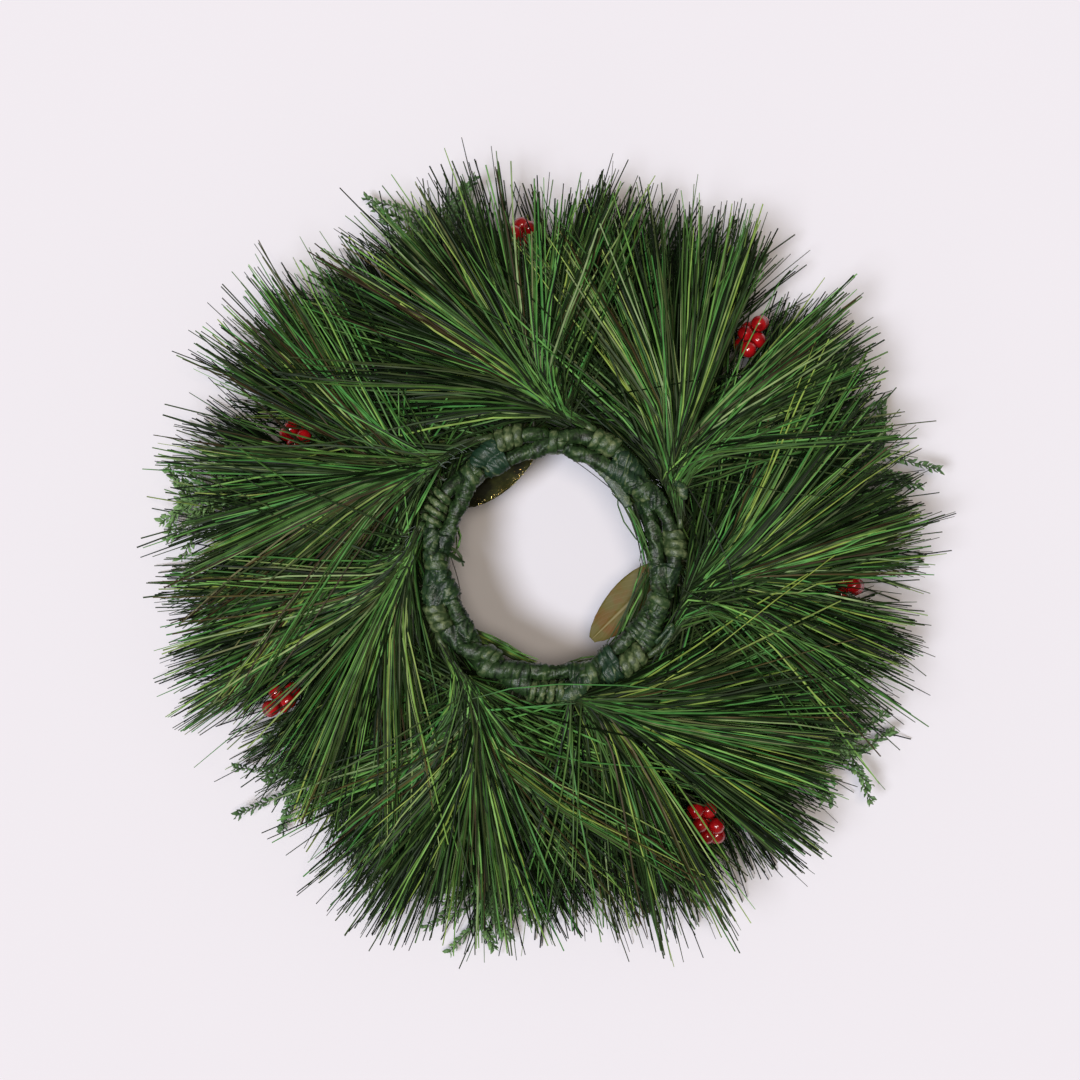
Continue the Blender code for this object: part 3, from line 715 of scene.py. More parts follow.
def needle_material(name, stops, root_colour):
    """Moulded plastic needles, each with its own green, darker and greyer at its root."""
    look = Look(name, Roughness=0.48, Specular_IOR_Level=0.13)
    streaks = look.spread(look.grain(160.0, 1.0), 0.35, 0.75, 0.0, 0.45)
    streaked = look.mix(streaks, look.ramp(look.held("tone"), stops), stops[1][1])
    near_root = look.spread(look.held("along"), 0.0, 0.22, 0.85, 0.0)
    return look.finish(
        look.mix(near_root, streaked, root_colour), look.grain(2200.0, 0.0), 0.1 * MM, 0.25)


def berry_material(colour):
    """Red lacquer over a bead, a little darker in patches."""
    look = Look("berry_lacquer", Roughness=0.2, Coat_Weight=0.7, Coat_Roughness=0.08)
    patch = look.spread(look.grain(220.0, 2.0), 0.4, 0.7)
    return look.finish(
        look.mix(patch, colour, scaled(0.45, colour)), look.grain(700.0, 2.0), 0.12 * MM, 0.35)


def wire_material(name, colour, roughness):
    """A dull covered wire, with a fine grain."""
    look = Look(name, Roughness=roughness)
    grain = look.grain(900.0, 3.0)
    return look.finish(look.mix(grain, scaled(0.5, colour), colour), grain, 0.1 * MM, 0.4)


def small_leaf_material(dark, light):
    """Small soft leaves, from dark green to pale, each with its own tone."""
    look = Look("small_leaf_film", Roughness=0.5)
    middle = tuple(0.5 * (first + second) for first, second in zip(dark, light))
    greens = look.ramp(look.held("tone"), [(0.0, dark), (0.65, middle), (1.0, light)])
    mottle = look.spread(look.grain(500.0, 3.0), 0.4, 0.8, 0.0, 0.5)
    return look.finish(look.mix(mottle, greens, dark), look.grain(1200.0, 2.0), 0.15 * MM, 0.4)


def broad_leaf_material(name, blade, rust, rib, shine):
    """Pressed fabric leaf: mottled blade, rusty patches, a pale midrib and fine side veins."""
    look = Look(name, Roughness=0.46, Specular_IOR_Level=shine)
    side = look.reckon("ABSOLUTE", look.held("tone"))
    mottled = look.mix(look.spread(look.grain(110.0, 3.0), 0.45, 0.7), blade, rust)
    slant = look.reckon("MULTIPLY_ADD", side, -VEIN_SLANT, look.held("along"))
    vein = look.reckon("SINE", look.reckon("MULTIPLY", slant, VEINS * math.tau))
    veined = look.mix(look.spread(vein, 0.86, 1.0, 0.0, 0.18), mottled, rib)
    midrib = look.spread(side, 0.03, 0.075, 1.0, 0.0)
    return look.finish(look.mix(midrib, veined, rib), look.grain(900.0, 3.0), 0.15 * MM, 0.4)


def glitter_material():
    """Gold flecks, lighter and darker by their place."""
    look = Look("gold_glitter", Metallic=1.0, Roughness=0.22)
    return look.finish(look.mix(look.grain(900.0, 1.0), (0.55, 0.38, 0.10), (0.9, 0.72, 0.3)))


def floor_material(colour):
    """A plain pale paper sheet."""
    look = Look("pale_floor", Roughness=0.9, Specular_IOR_Level=0.1)
    return look.finish(look.mix(look.grain(6.0, 2.0), colour, scaled(0.985, colour)))


def crumple(place, size, seed):
    """Creased relief from about -1 to 1 at a point, for folds of a given size."""
    spot = place / size + Vector((seed * 7.3, seed * 3.1, seed * 5.7))
    spot = spot + noise.noise_vector(spot * 0.8) * 0.5
    soft = noise.noise(spot)
    crease = 1.0 - 2.6 * abs(noise.noise(spot * 1.3 + Vector((11.0, 4.0, 2.0))))
    return 0.4 * soft + 0.55 * (max(crease, -0.4) ** 3 - 0.1)


def sharp_folds(spot, shift, finer):
    """Sharp folds from about -1 to 1 at a spot of the noise, with small ones finer than the large."""
    spot = spot + noise.noise_vector(spot * 0.6 + shift) * 0.45
    crest = max(1.0 - 3.0 * abs(noise.noise(spot)), -0.5)
    small = max(1.0 - 3.0 * abs(noise.noise(spot * finer + Vector((5.0, 9.0, 1.0)))), -0.5)
    return 0.75 * crest * abs(crest) + 0.3 * small + 0.35 * noise.noise(spot * 0.5) - 0.1


def straight_folds(along, around, direction, size, seed):
    """Long folds of tape. direction is 0 where they run across the ring and 90 where they run along
    it.
    """
    cosine, sine = math.cos(math.radians(direction)), math.sin(math.radians(direction))
    spot = Vector((
        (along * cosine + around * sine) / size, (around * cosine - along * sine) / (4.2 * size), seed))
    return sharp_folds(spot, Vector((seed, 2.0, 7.0)), 2.1)


def spiral_folds(arc, turn, radius, seed):
    """Long folds of tape that run round a strand in a slow spiral."""
    turned = turn + math.tau * arc / SPIRAL_LEAD
    spot = Vector((
        arc / (3.6 * SPIRAL_FOLD) + seed, radius * math.cos(turned) / SPIRAL_FOLD + 2.0 * seed,
        radius * math.sin(turned) / SPIRAL_FOLD))
    return sharp_folds(spot, Vector((0.0, 0.0, 0.0)), 2.2)


def rib_height(place, pitch, sharp):
    """The height from 0 to 1 of a rounded rib at a place along a tube, in metres."""
    share = (place / pitch) % 1.0
    return (1.0 - (2.0 * share - 1.0) ** 2) ** sharp


def build_strands(ring, material):
    """Both strands of the ring, with their ribs and creases of tape."""
    for which in range(2):
        points = [strand_point(360.0 * step / STRAND_RINGS, which) for step in range(STRAND_RINGS)]
        places, tones = [], []
        for index, centre in enumerate(points):
            angle = 360.0 * index / STRAND_RINGS
            out, up = section_axes(points, index, True, outward(centre))
            outer_share = 0.5 + 0.5 * math.cos(math.pi * (pair_state(angle)[0] + which))
            inner_share = 1.0 - outer_share
            outer_pitch, outer_depth, inner_pitch, inner_depth = TAPE_RIBS[coil_before(angle)[0]]
            arc = math.radians(angle) * RING_RADIUS
            uneven = arc + 1.3 * MM * noise.noise(centre / (5.0 * MM))
            away_from_seam = smooth_step(min(angle, 360.0 - angle) / SEAM_ANGLE)
            swell = 0.7 * MM * noise.noise(centre / (8.0 * MM) + Vector((which * 9.0, 0.0, 0.0)))
            for side in range(STRAND_SIDES):
                turn = math.tau * side / STRAND_SIDES
                way = out * math.cos(turn) + up * math.sin(turn)
                slant = turn / math.tau
                outer_rib = rib_height(uneven + slant * outer_pitch * MM, outer_pitch * MM, 0.6)
                inner_rib = rib_height(uneven - slant * 2.0 * inner_pitch * MM, inner_pitch * MM, 0.9)
                relief = 0.6 * outer_share * outer_depth * outer_rib
                relief += 0.55 * inner_share * inner_depth * inner_rib
                fold = away_from_seam * spiral_folds(arc, turn, ring.strand_radius, 3.0 * which)
                fine = crumple(centre + way * ring.strand_radius, 1.9 * MM, which + 5.0)
                reach = ring.strand_radius + swell + relief * MM
                reach += (fold * (0.55 + 0.8 * inner_share) + 0.45 * fine) * ring.crease_depth
                places.append(centre + way * reach)
                # Tone rises on ribs and folds and falls in creases: low tone is painted shade, high tone
                # is pale, partly as wear and partly as painted highlight
                tones.append(clamped(0.3 + 0.5 * relief + 0.45 * fold + 0.2 * fine))
        heap = Heap()
        heap.add(places, loft_faces(STRAND_RINGS, STRAND_SIDES, True), tones)
        strand = heap.build(f"taped_strand_{which + 1}", [material])
        settle(strand, "floral_tape", f"ring_strand_{which + 1}")


def add_band(heap, points, level_of, half_width, half_thickness, boxy, crease, seed, wear_and_highlight):
    """A flattened, creased band of taped wire through the points. level_of(point) is the way that
    its thickness faces, boxy is how square its section is, and the last argument gives, by the share
    along the band, how high its tone runs: high tone takes pale wear and painted highlight, low tone
    the dark of painted shade.
    """
    places, tones = [], []
    travelled = 0.0
    for index, centre in enumerate(points):
        if index:
            travelled += (centre - points[index - 1]).length
        share = index / (len(points) - 1)
        out, across = section_axes(points, index, False, level_of(centre))
        wide, thick, wear_and_highlight_share = half_width(share), half_thickness(share), wear_and_highlight(share)
        for side in range(BAND_SIDES):
            turn = math.tau * side / BAND_SIDES
            cosine, sine = math.cos(turn), math.sin(turn)
            reach = (abs(cosine) ** boxy + abs(sine) ** boxy) ** (-1.0 / boxy)
            place = centre + out * cosine * reach * thick + across * sine * reach * wide
            fold = crumple(place, 3.4 * MM, seed)
            fine = crumple(place, 1.4 * MM, seed + 3.0)
            rib = rib_height(travelled + sine * 0.9 * MM, 1.7 * MM, 0.8) - 0.5
            way = (place - centre).normalized()
            places.append(place + way * crease * (1.2 * fold + 0.45 * fine + 0.3 * rib))
            # Tone is high on folds, ribs and the broad faces, and low in creases and on the edges that
            # face the next turn: low tone is painted shade, high tone is partly wear and partly painted
            # highlight
            tone = wear_and_highlight_share * (0.55 + 0.7 * fold + 0.3 * fine + 0.15 * rib + 0.2 * abs(cosine))
            tones.append(clamped(tone))
    heap.add(places, loft_faces(len(points), BAND_SIDES, False), tones)


def coil_and_run(index, reach):
    """The centre line of an upper pick's stem: its coil, and then its run to the bunch."""
    pitch = arc_to_angle(COIL_PITCH, RING_RADIUS + COIL_RADIUS)
    last = COIL_ANGLES[index] + COIL_TURNS[index] * pitch / 2.0
    points = []
    for step in range(int(COIL_TURNS[index] * COIL_STEPS), -1, -1):
        turns = step / COIL_STEPS
        angle = last - turns * pitch
        turn = math.radians(-360.0 * turns)
        radius = ring_radius(angle) + COIL_RADIUS + reach * math.cos(turn)
        points.append(polar(angle, radius, RING_HEIGHT + reach * math.sin(turn)))
    start = points[-1]
    end = upper_root(index)
    span = (end - start).length
    leaving = start + heading(last + 78.0, 0.0) * span * 0.62
    arriving = end - upper_heading(index) * (END_LENGTH + span * 0.14)
    straight = end - upper_heading(index) * END_LENGTH
    return points, bezier_path(start, leaving, arriving, straight, 22)[1:] + [end]


def facing_out(angle, middle):
    """The way that the tape of a winding faces: away from its middle, square to the ring."""
    along_ring = heading(angle + 90.0, 0.0)

    def facing(point):
        away = point - middle
        return away - along_ring * away.dot(along_ring)

    return facing


def easing_from(start, stretch):
    """A soft step from 0 to 1 that begins at a share and takes a stretch of it."""
    return lambda share: smooth_step((share - start) / stretch)


def build_pick_stems(ring, materials):
    """The coils of the upper picks round the outer strand, as flattened bands."""
    for index, coil_angle in enumerate(COIL_ANGLES):
        coil, run = coil_and_run(index, ring.coil_reach)
        middle = polar(coil_angle, ring_radius(coil_angle) + COIL_RADIUS, RING_HEIGHT)
        leaving = easing_from(len(coil) / (len(coil) + len(run)), 0.12)
        band_width = LONG_COIL_BAND if COIL_TURNS[index] > LONG_COIL_TURNS else ring.band_width
        heap = Heap()
        add_band(
            heap, coil + run, facing_out(coil_angle, middle),
            lambda share: blend(band_width / 2.0, 1.35 * MM, leaving(share)),
            lambda share: blend(ring.band_thickness / 2.0, 1.25 * MM, leaving(share)),
            3.0, ring.crease_depth * 0.8, 20.0 + index, lambda share: 1.0 - 0.9 * leaving(share))
        stem = heap.build(f"pick_coil_{index + 1}", [materials[index % len(materials)]])
        settle(stem, "floral_tape", f"upper_stem_{index + 1}")


def build_ties(ring, material):
    """The stems of the lower picks: a crumpled band of tape that binds both strands, and the wire
    that leads out from it under the ring.
    """
    pitch = arc_to_angle(TIE_BAND_PITCH, RING_RADIUS)
    for index, tie_angle in enumerate(TIE_ANGLES):
        tie = []
        for step in range(int(TIE_TURNS * TIE_STEPS), -1, -1):
            turns = step / TIE_STEPS
            angle = tie_angle + (TIE_TURNS / 2.0 - turns) * pitch
            turn = -90.0 - 360.0 * turns
            reach = hull_reach(angle, math.radians(turn), ring.strand_radius + 0.75 * MM)
            tie.append(beside_ring(angle, min(reach, TIE_REACH), turn))
        run = [tie[-1].lerp(lower_run(index)[0], 0.5)] + bezier_path(*lower_run(index), 20)[1:]
        run.append(lower_root(index))
        middle = polar(tie_angle, ring_radius(tie_angle), RING_HEIGHT)
        leaving = easing_from(len(tie) / (len(tie) + len(run)) * 0.9, 0.1)
        heap = Heap()
        add_band(
            heap, tie + run, facing_out(tie_angle, middle),
            lambda share: blend(2.2 * MM, 1.15 * MM, leaving(share)),
            lambda share: blend(0.85 * MM, 1.05 * MM, leaving(share)),
            2.6, 0.75 * ring.crease_depth, 40.0 + index, lambda share: 0.8 - 0.4 * leaving(share))
        stem = heap.build(f"pick_tie_{index + 1}", [material])
        settle(stem, "floral_tape", f"lower_stem_{index + 1}")


def swelling(share, size):
    """Half the width of a loose end of tape, which narrows to both sides of its middle."""
    return size * MM * (0.35 + 0.65 * math.sin(math.pi * min(max(share, 0.04), 0.96)) ** 0.5)


def build_wraps(ring, material):
    """Loose folds of tape round both strands, between the coils, and its loose ends."""
    heap = Heap()
    for order, (angle, half_length, proud, depth, direction, pitch, blue) in enumerate(TAPE_SLEEVES):
        rings = int(2.0 * math.radians(half_length) * RING_RADIUS / SLEEVE_STEP)
        places, tones = [], []
        for index in range(rings + 1):
            share = 2.0 * index / rings - 1.0
            here = angle + share * half_length
            centre = polar(here, ring_radius(here), RING_HEIGHT)
            out = outward(centre)
            arc = share * math.radians(half_length) * RING_RADIUS
            for side in range(SLEEVE_SIDES):
                turn = math.tau * side / SLEEVE_SIDES
                ragged = 0.28 * math.sin(turn + 1.7 * order) + 0.12 * math.sin(4.0 * turn + 2.0 * order)
                hug = smooth_step((1.0 - abs(share) - ragged * math.copysign(1.0, share)) / 0.16)
                way = out * math.cos(turn) + Vector((0.0, 0.0, math.sin(turn)))
                around = (turn if turn < math.pi else math.tau - turn) * 6.0 * MM
                seed = 3.7 * order + (turn >= math.pi)
                height = straight_folds(arc, around, direction, SLEEVE_FOLD, seed)
                if pitch:
                    rib = rib_height(arc + 1.5 * MM * math.sin(turn), pitch * MM, 0.6) - 0.5
                    height = 0.5 * height + 0.7 * rib
                reach = hull_reach(here, turn, ring.strand_radius) + (hug * (1.3 + proud) - 1.3) * MM
                reach += height * depth * MM * (0.25 + 0.75 * hug)
                places.append(centre + way * reach)
                # Tone follows the folds: low in creases, painted shade; high on ridges, pale partly as
                # wear and partly as painted highlight
                tones.append(clamped(0.3 + 0.6 * height))
        heap.add(places, loft_faces(rings + 1, SLEEVE_SIDES, False), tones, blue)
    for order, (half_width, half_thickness, points) in enumerate(TAPE_ENDS):
        add_band(
            heap, smooth_line([Vector(point) * MM for point in points], 9), lambda point: UP,
            lambda share: swelling(share, half_width), lambda share: swelling(share, half_thickness),
            2.4, 1.2 * ring.crease_depth, 60.0 + order, lambda share: 0.75)
    settle(heap.build("tape_wraps", [material]), "floral_tape")


def curve_points(controls, share):
    """Points of cubic curves, by the control points in each row and a share of the curve's length."""
    first, second, third, fourth = (controls[..., index, :] for index in range(4))
    rest = 1.0 - share
    return (first * rest ** 3 + 3.0 * second * rest ** 2 * share
            + 3.0 * third * rest * share ** 2 + fourth * share ** 3)


def curve_ways(controls, share):
    """The directions of the same curves there."""
    first, second, third, fourth = (controls[..., index, :] for index in range(4))
    rest = 1.0 - share
    ways = (3.0 * (second - first) * rest ** 2 + 6.0 * (third - second) * rest * share
            + 3.0 * (fourth - third) * share ** 2)
    return ways / np.linalg.norm(ways, axis=2, keepdims=True)


def sweep_strips(heap, controls, half_widths, half_thicks, rolls, twists, tones, tips):
    """Flat strips along cubic curves, one for each row of control points."""
    stations = len(STRIP_PROFILE)
    count = len(controls)
    shares = np.linspace(0.0, 1.0, stations)
    centres = curve_points(controls[:, None], shares[None, :, None])
    ways = curve_ways(controls[:, None], shares[None, :, None])
    sideways = np.cross(ways, np.array([0.0, 0.0, 1.0]))
    sideways /= np.maximum(np.linalg.norm(sideways, axis=2, keepdims=True), 1e-9)
    upright = np.cross(sideways, ways)
    turn = rolls[:, None] + twists[:, None] * shares[None, :]
    cosine, sine = np.cos(turn)[..., None], np.sin(turn)[..., None]
    wide = sideways * cosine + upright * sine
    thick = upright * cosine - sideways * sine
    profile = np.array(STRIP_PROFILE)[None, :] * half_widths[:, None]
    profile[:, -1] *= tips
    depth = np.broadcast_to(half_thicks[:, None], profile.shape).copy()
    depth[:, -1] *= 0.7
    corners = [
        centres + wide * profile[..., None] * wide_sign + thick * depth[..., None] * thick_sign
        for wide_sign, thick_sign in ((1, 1), (-1, 1), (-1, -1), (1, -1))]
    points = np.stack(corners, axis=2).reshape(count, stations * 4, 3)
    pattern = np.array(loft_faces(stations, 4, False))
    faces = (pattern[None] + (np.arange(count) * stations * 4)[:, None, None]).reshape(-1, 4)
    along = np.tile(np.repeat(shares, 4), count)
    heap.add(points, faces.tolist(), np.repeat(tones, stations * 4), along)


def placed_room():
    """Everything that needles keep clear of: strands, stems, berries and broad leaves."""
    room = Room()
    for which in range(2):
        room.add([strand_point(10.0 * step, which) for step in range(37)], STRAND_ROOM)
    for index in range(len(COIL_ANGLES)):
        coil, run = coil_and_run(index, COIL_REACH)
        room.add([coil[0], coil[-1]], COIL_ROOM)
        room.add(run[3::5] + [run[-1]], STEM_ROOM)
    for order in range(len(BERRY_SPRAYS)):
        for centre in berry_places(order)[1]:
            room.add([centre], BERRY_ROOM)
    for spine, across, width in broad_leaf_spines():
        for column in (-0.35, -0.12, 0.12, 0.35):
            room.add([level + across * width * column for level in spine[1:-1]], 0.1 * width)
    return room


def crosses_over(starts, ends, spots, window):
    """Which needles pass above a spot, within a window of it as seen from above."""
    lines = (ends - starts)[:, None, :]
    offsets = spots[None] - starts[:, None, :]
    level = lines[..., :2]
    share = np.clip((offsets[..., :2] * level).sum(axis=2) / (level * level).sum(axis=2), 0.0, 1.0)
    apart = offsets - share[..., None] * lines
    near = np.linalg.norm(apart[..., :2], axis=2) < window
    return (near & (apart[..., 2] < 0.0)).any(axis=1)


def headings(azimuths, tilts):
    """Unit directions for arrays of azimuths and tilts, in degrees."""
    azimuths, tilts = np.radians(azimuths), np.radians(tilts)
    return np.stack([
        np.cos(tilts) * np.cos(azimuths), np.cos(tilts) * np.sin(azimuths), np.sin(tilts)], axis=1)


def along_path(path, distances):
    """Points of a line at the given distances back from its end."""
    places = np.array([tuple(point) for point in path])
    steps = np.linalg.norm(np.diff(places, axis=0), axis=1)
    travelled = np.concatenate([[0.0], np.cumsum(steps)])
    wanted = travelled[-1] - distances
    return np.stack([np.interp(wanted, travelled, places[:, axis]) for axis in range(3)], axis=1)


def bend_needles(pine, starts, azimuths, tilts, lengths, leaving, beyond, draws):
    """Control points of needles, kept inside the wreath's outline and above the floor. beyond is how
    far past the outline each needle may reach.
    """
    count = len(starts)
    ends = starts + headings(azimuths, tilts) * lengths[:, None]
    reach = np.linalg.norm(ends[:, :2], axis=1)
    at = np.degrees(np.arctan2(ends[:, 1], ends[:, 0])) % 360.0
    limit = np.interp(at, np.arange(25) * 15.0, OUTLINE + OUTLINE[:1]) * MM
    limit = np.minimum(limit + beyond, pine.outline_radius)
    lengths = np.maximum(lengths - np.maximum(reach - limit, 0.0), SHORTEST_NEEDLE)
    drop = np.maximum(starts[:, 2] + lengths * np.sin(np.radians(tilts)), LOWEST_NEEDLE)
    tilts = np.degrees(np.arcsin(np.clip((drop - starts[:, 2]) / lengths, -0.95, 0.95)))
    ways = headings(azimuths, tilts)
    ends = starts + ways * lengths[:, None]
    turn = np.radians(azimuths)
    sideways = np.stack([-np.sin(turn), np.cos(turn), np.zeros(count)], axis=1)
    swing = np.where(draws.random(count) < CALM, 1.0, 3.2) * draws.normal(0.0, pine.sway, count)
    seconds = starts + leaving * lengths[:, None] * 0.3 + sideways * swing[:, None] * 0.4
    thirds = ends - ways * lengths[:, None] * 0.36 + sideways * swing[:, None]
    thirds[:, 2] += draws.uniform(0.0, 3.0, count) * MM
    for points in (seconds, thirds):
        points[:, 2] = np.maximum(points[:, 2], LOWEST_NEEDLE)
    return np.stack([starts, seconds, thirds, ends], axis=1)


def tip_reach(pine, count, draws):
    """How far past the outline each needle may reach: most end near it, many end well short of it,
    and a few stray beyond it.
    """
    beyond = pine.tip_margin + draws.normal(0.0, pine.ragged, count)
    trailing = draws.random(count) < TRAILING
    beyond[trailing] -= draws.uniform(0.0, 1.0, trailing.sum()) * pine.trailing
    stray = draws.random(count) < STRAY
    beyond[stray] += draws.uniform(4.0, 13.0, stray.sum()) * MM
    return beyond


def keep_clear(controls, room, windows, draws):
    """Which needles neither cut through what is placed, nor reach into the ring's hole, nor cover
    what shows between them.
    """
    begin, quarter, middle, end = (curve_points(controls, share) for share in (0.12, 0.35, 0.65, 1.0))
    free = np.ones(len(controls), dtype=bool)
    for start, stop in ((begin, quarter), (quarter, middle), (middle, end)):
        free &= room.clearance(start, stop) > NEEDLE_GAP
    for point in (begin, quarter, middle, end, curve_points(controls, 0.22)):
        free &= np.linalg.norm(point[:, :2], axis=1) > HOLE_RADIUS
    for spots, window, passing in windows:
        covering = crosses_over(begin, middle, spots, window) | crosses_over(middle, end, spots, window)
        free &= ~covering | (draws.random(len(begin)) < passing)
    return free


def grow_bunch(pine, axis, path, spread, tilts, count, bow, draws, room, windows):
    """Control points and tones of a bunch's needles. axis is the azimuth of its core, path is the
    wire that they spring from, and bow is how far they leave along the wire before turning out.
    """
    tries = int(count * 1.9)
    tufts = pine.tufts
    low, high = spread
    tuft_turns = np.sort(draws.uniform(low, high, tufts))
    tuft_tilts = draws.uniform(*tilts, tufts)
    tuft_tones = draws.random(tufts)
    tuft_longer = draws.normal(0.0, 5.5, tufts) * MM
    chosen = draws.integers(0, tufts, tries)
    gathered = draws.random(tries) < GATHERED
    turns = np.where(
        gathered, tuft_turns[chosen] + draws.normal(0.0, 1.5, tries),
        draws.uniform(low - 8.0, high + 8.0, tries))
    tilt = np.where(
        gathered, tuft_tilts[chosen] + draws.normal(0.0, 1.2, tries), draws.uniform(*tilts, tries))
    tones = np.where(gathered, 0.26 * tuft_tones[chosen], 0.26 * draws.random(tries))
    tones += 0.74 * draws.random(tries) + 0.06 * np.sin(np.radians(turns * 5.0) + axis)
    tones = 0.47 + 1.3 * (tones - 0.5)
    share = 0.08 + 0.8 * (1.0 - np.abs(turns) / max(abs(low), abs(high)))
    share = np.clip(share + draws.uniform(-0.14, 0.14, tries), 0.01, 0.98)
    back = CORE_LENGTH * (1.0 - share)
    early = draws.random(tries) < EARLY
    back[early] += draws.uniform(0.0, 11.0, early.sum()) * MM
    starts = along_path(path, back)
    round_wire = draws.uniform(0.0, math.tau, tries)
    across = np.array([-math.sin(math.radians(axis)), math.cos(math.radians(axis)), 0.0])
    starts += across * (np.cos(round_wire) * 1.1 * MM)[:, None]
    starts[:, 2] += np.sin(round_wire) * 1.3 * MM
    longer = np.where(gathered, tuft_longer[chosen], 0.0)
    lengths = pine.needle_length + draws.normal(0.0, 5.0, tries) * MM - CORE_LENGTH * share + longer
    short = draws.random(tries) < SHORT
    lengths[short] *= draws.uniform(0.6, 0.95, short.sum())
    still_along = axis + turns * (1.0 - bow * draws.uniform(0.6, 1.2, tries))
    leaving = headings(still_along, tilt + draws.uniform(0.0, 7.0, tries))
    beyond = tip_reach(pine, tries, draws) + longer
    controls = bend_needles(pine, starts, axis + turns, tilt, lengths, leaving, beyond, draws)
    free = keep_clear(controls, room, windows, draws)
    # Needles that lie lower in a bunch take darker tones: painted shade of the needles over them
    shade_depth = (tilts[1] - tilt) / (tilts[1] - tilts[0])
    tones = np.clip(tones + 0.06 - 0.34 * np.clip(shade_depth, 0.0, 1.0), 0.0, 1.0)
    return controls[free][:count], tones[free][:count]


def grow_along_run(pine, path, spread, tilts, count, reach, draws, room, windows):
    """Needles that spring from the wire on its way out from the ring, so that no gap shows there.
    Some of them lie close along the ring, and some lie over the wire.
    """
    tries = int(count * 2.2)
    back = draws.uniform(0.15, 1.0, tries) * reach + CORE_LENGTH * 0.5
    starts = along_path(path, back)
    starts += draws.normal(0.0, 0.8, (tries, 3)) * MM
    starts[:, 2] += draws.uniform(0.0, 2.0, tries) * MM
    radial = np.degrees(np.arctan2(starts[:, 1], starts[:, 0]))
    azimuths = radial + draws.uniform(*spread, tries)
    tilt = draws.uniform(*tilts, tries)
    lengths = pine.needle_length * draws.uniform(0.62, 1.0, tries)
    hugging = draws.random(tries) < HUGGING
    side = np.where(draws.random(tries) < (-spread[0] / (spread[1] - spread[0])), -1.0, 1.0)
    azimuths[hugging] = (radial + side * draws.uniform(84.0, 110.0, tries))[hugging]
    lengths[hugging] *= 0.8
    leaving_azimuths = azimuths + draws.normal(0.0, 8.0, tries)
    leaving = headings(leaving_azimuths, tilt + draws.uniform(-2.0, 10.0, tries))
    beyond = tip_reach(pine, tries, draws)
    controls = bend_needles(pine, starts, azimuths, tilt, lengths, leaving, beyond, draws)
    free = keep_clear(controls, room, windows, draws)
    tones = draws.random(tries) * 0.75
    return controls[free][:count], tones[free][:count]


def grow_sheath(pine, axis, spread, path, count, draws, room, windows):
    """Needles that lie along the wire from its coil before they fan out, and so hide it."""
    tries = count * 2
    path_length = sum((path[step + 1] - path[step]).length for step in range(len(path) - 1))
    back = draws.uniform(0.2, 1.0, tries) * (path_length - CORE_LENGTH)
    away = draws.uniform(1.9, 3.3, tries) * MM
    round_wire = np.radians(draws.uniform(15.0, 165.0, tries))
    first = along_path(path, CORE_LENGTH + back)
    second = along_path(path, CORE_LENGTH + 0.5 * back)
    third = along_path(path, np.full(tries, 0.7 * CORE_LENGTH))
    way = third - first
    sideways = np.stack([-way[:, 1], way[:, 0], np.zeros(tries)], axis=1)
    sideways /= np.linalg.norm(sideways, axis=1, keepdims=True)
    lift = np.array([0.0, 0.0, 1.0]) * np.sin(round_wire)[:, None]
    offset = (sideways * np.cos(round_wire)[:, None] + lift) * away[:, None]
    turns = draws.uniform(0.8 * spread[0], 0.8 * spread[1], tries)
    lengths = pine.needle_length * draws.uniform(0.5, 0.85, tries)
    last = third + headings(axis + turns, draws.uniform(-14.0, -1.0, tries)) * lengths[:, None]
    controls = np.stack([first + offset, second + offset, third + 0.8 * offset, last + offset], axis=1)
    free = keep_clear(controls, room, windows, draws)
    return controls[free][:count], (draws.random(tries) * 0.8)[free][:count]


def core_line(root, way):
    """The twisted end of a pick's wire, from its root."""
    return [root + way * CORE_LENGTH * step / 10.0 for step in range(11)]


def build_bunch(pine, name, node, slot_name, materials, core, growth, draws):
    """One bunch: all the needles grown for it, swept as flat strips, on the twisted end of its wire."""
    controls = np.concatenate([controls for controls, _ in growth])
    tones = np.concatenate([tones for _, tones in growth])
    count = len(controls)
    heap = Heap()
    sweep_strips(
        heap, controls,
        0.5 * pine.needle_width * draws.uniform(0.72, 1.1, count),
        0.5 * pine.needle_thickness * draws.uniform(0.8, 1.2, count),
        draws.uniform(-1.2, 1.2, count), draws.normal(0.0, 0.6, count), tones,
        draws.choice([0.35, 0.6, 0.85], count))
    add_tube(heap, core, 1.9 * MM, 8, 0.1, 1, 0.35)
    settle(heap.build(name, materials, smooth=False), slot_name, node)


def places_in_view():
    """What shows between the needles: spots, how far round each is kept open, and the share of
    needles that cross it all the same.
    """
    berries = [
        tuple(centre) for order, shown in BERRIES_IN_VIEW for centre in berry_places(order)[1][:shown]]
    leaves = [
        tuple(polar_mm(angle + aside, radius, height))
        for _, angle, _, height in LEAFY_SPRAYS for aside, radius in LEAF_SPOTS]
    return [
        (np.array(berries), BERRY_WINDOW, BERRIES_CROSSED),
        (np.array(leaves), LEAF_WINDOW, LEAVES_CROSSED)]


def build_upper_bunches(pine, materials):
    """The seven bunches on the back, each leaning the same way round."""
    draws = np.random.default_rng(pine.seed)
    around = (draws, placed_room(), places_in_view())
    for index, (low, high, bow, fullness) in enumerate(UPPER_FANS):
        axis = UPPER_ROOT_ANGLES[index] + UPPER_LEANS[index]
        core = core_line(upper_root(index), upper_heading(index))
        path = coil_and_run(index, COIL_REACH)[1] + core[1:]
        needles = int(pine.upper_needles * fullness)
        growth = [
            grow_bunch(pine, axis, path, (low, high), UPPER_TILTS, needles, bow, *around),
            grow_along_run(
                pine, path, UPPER_RUN_SPREAD, UPPER_RUN_TILTS, pine.run_needles, UPPER_RUN_REACH,
                *around),
            grow_sheath(pine, axis, (low, high), path, pine.sheath_needles, *around)]
        build_bunch(
            pine, f"pine_bunch_back_{index + 1}", f"upper_needles_{index + 1}", "upper_needle",
            materials, core, growth, draws)


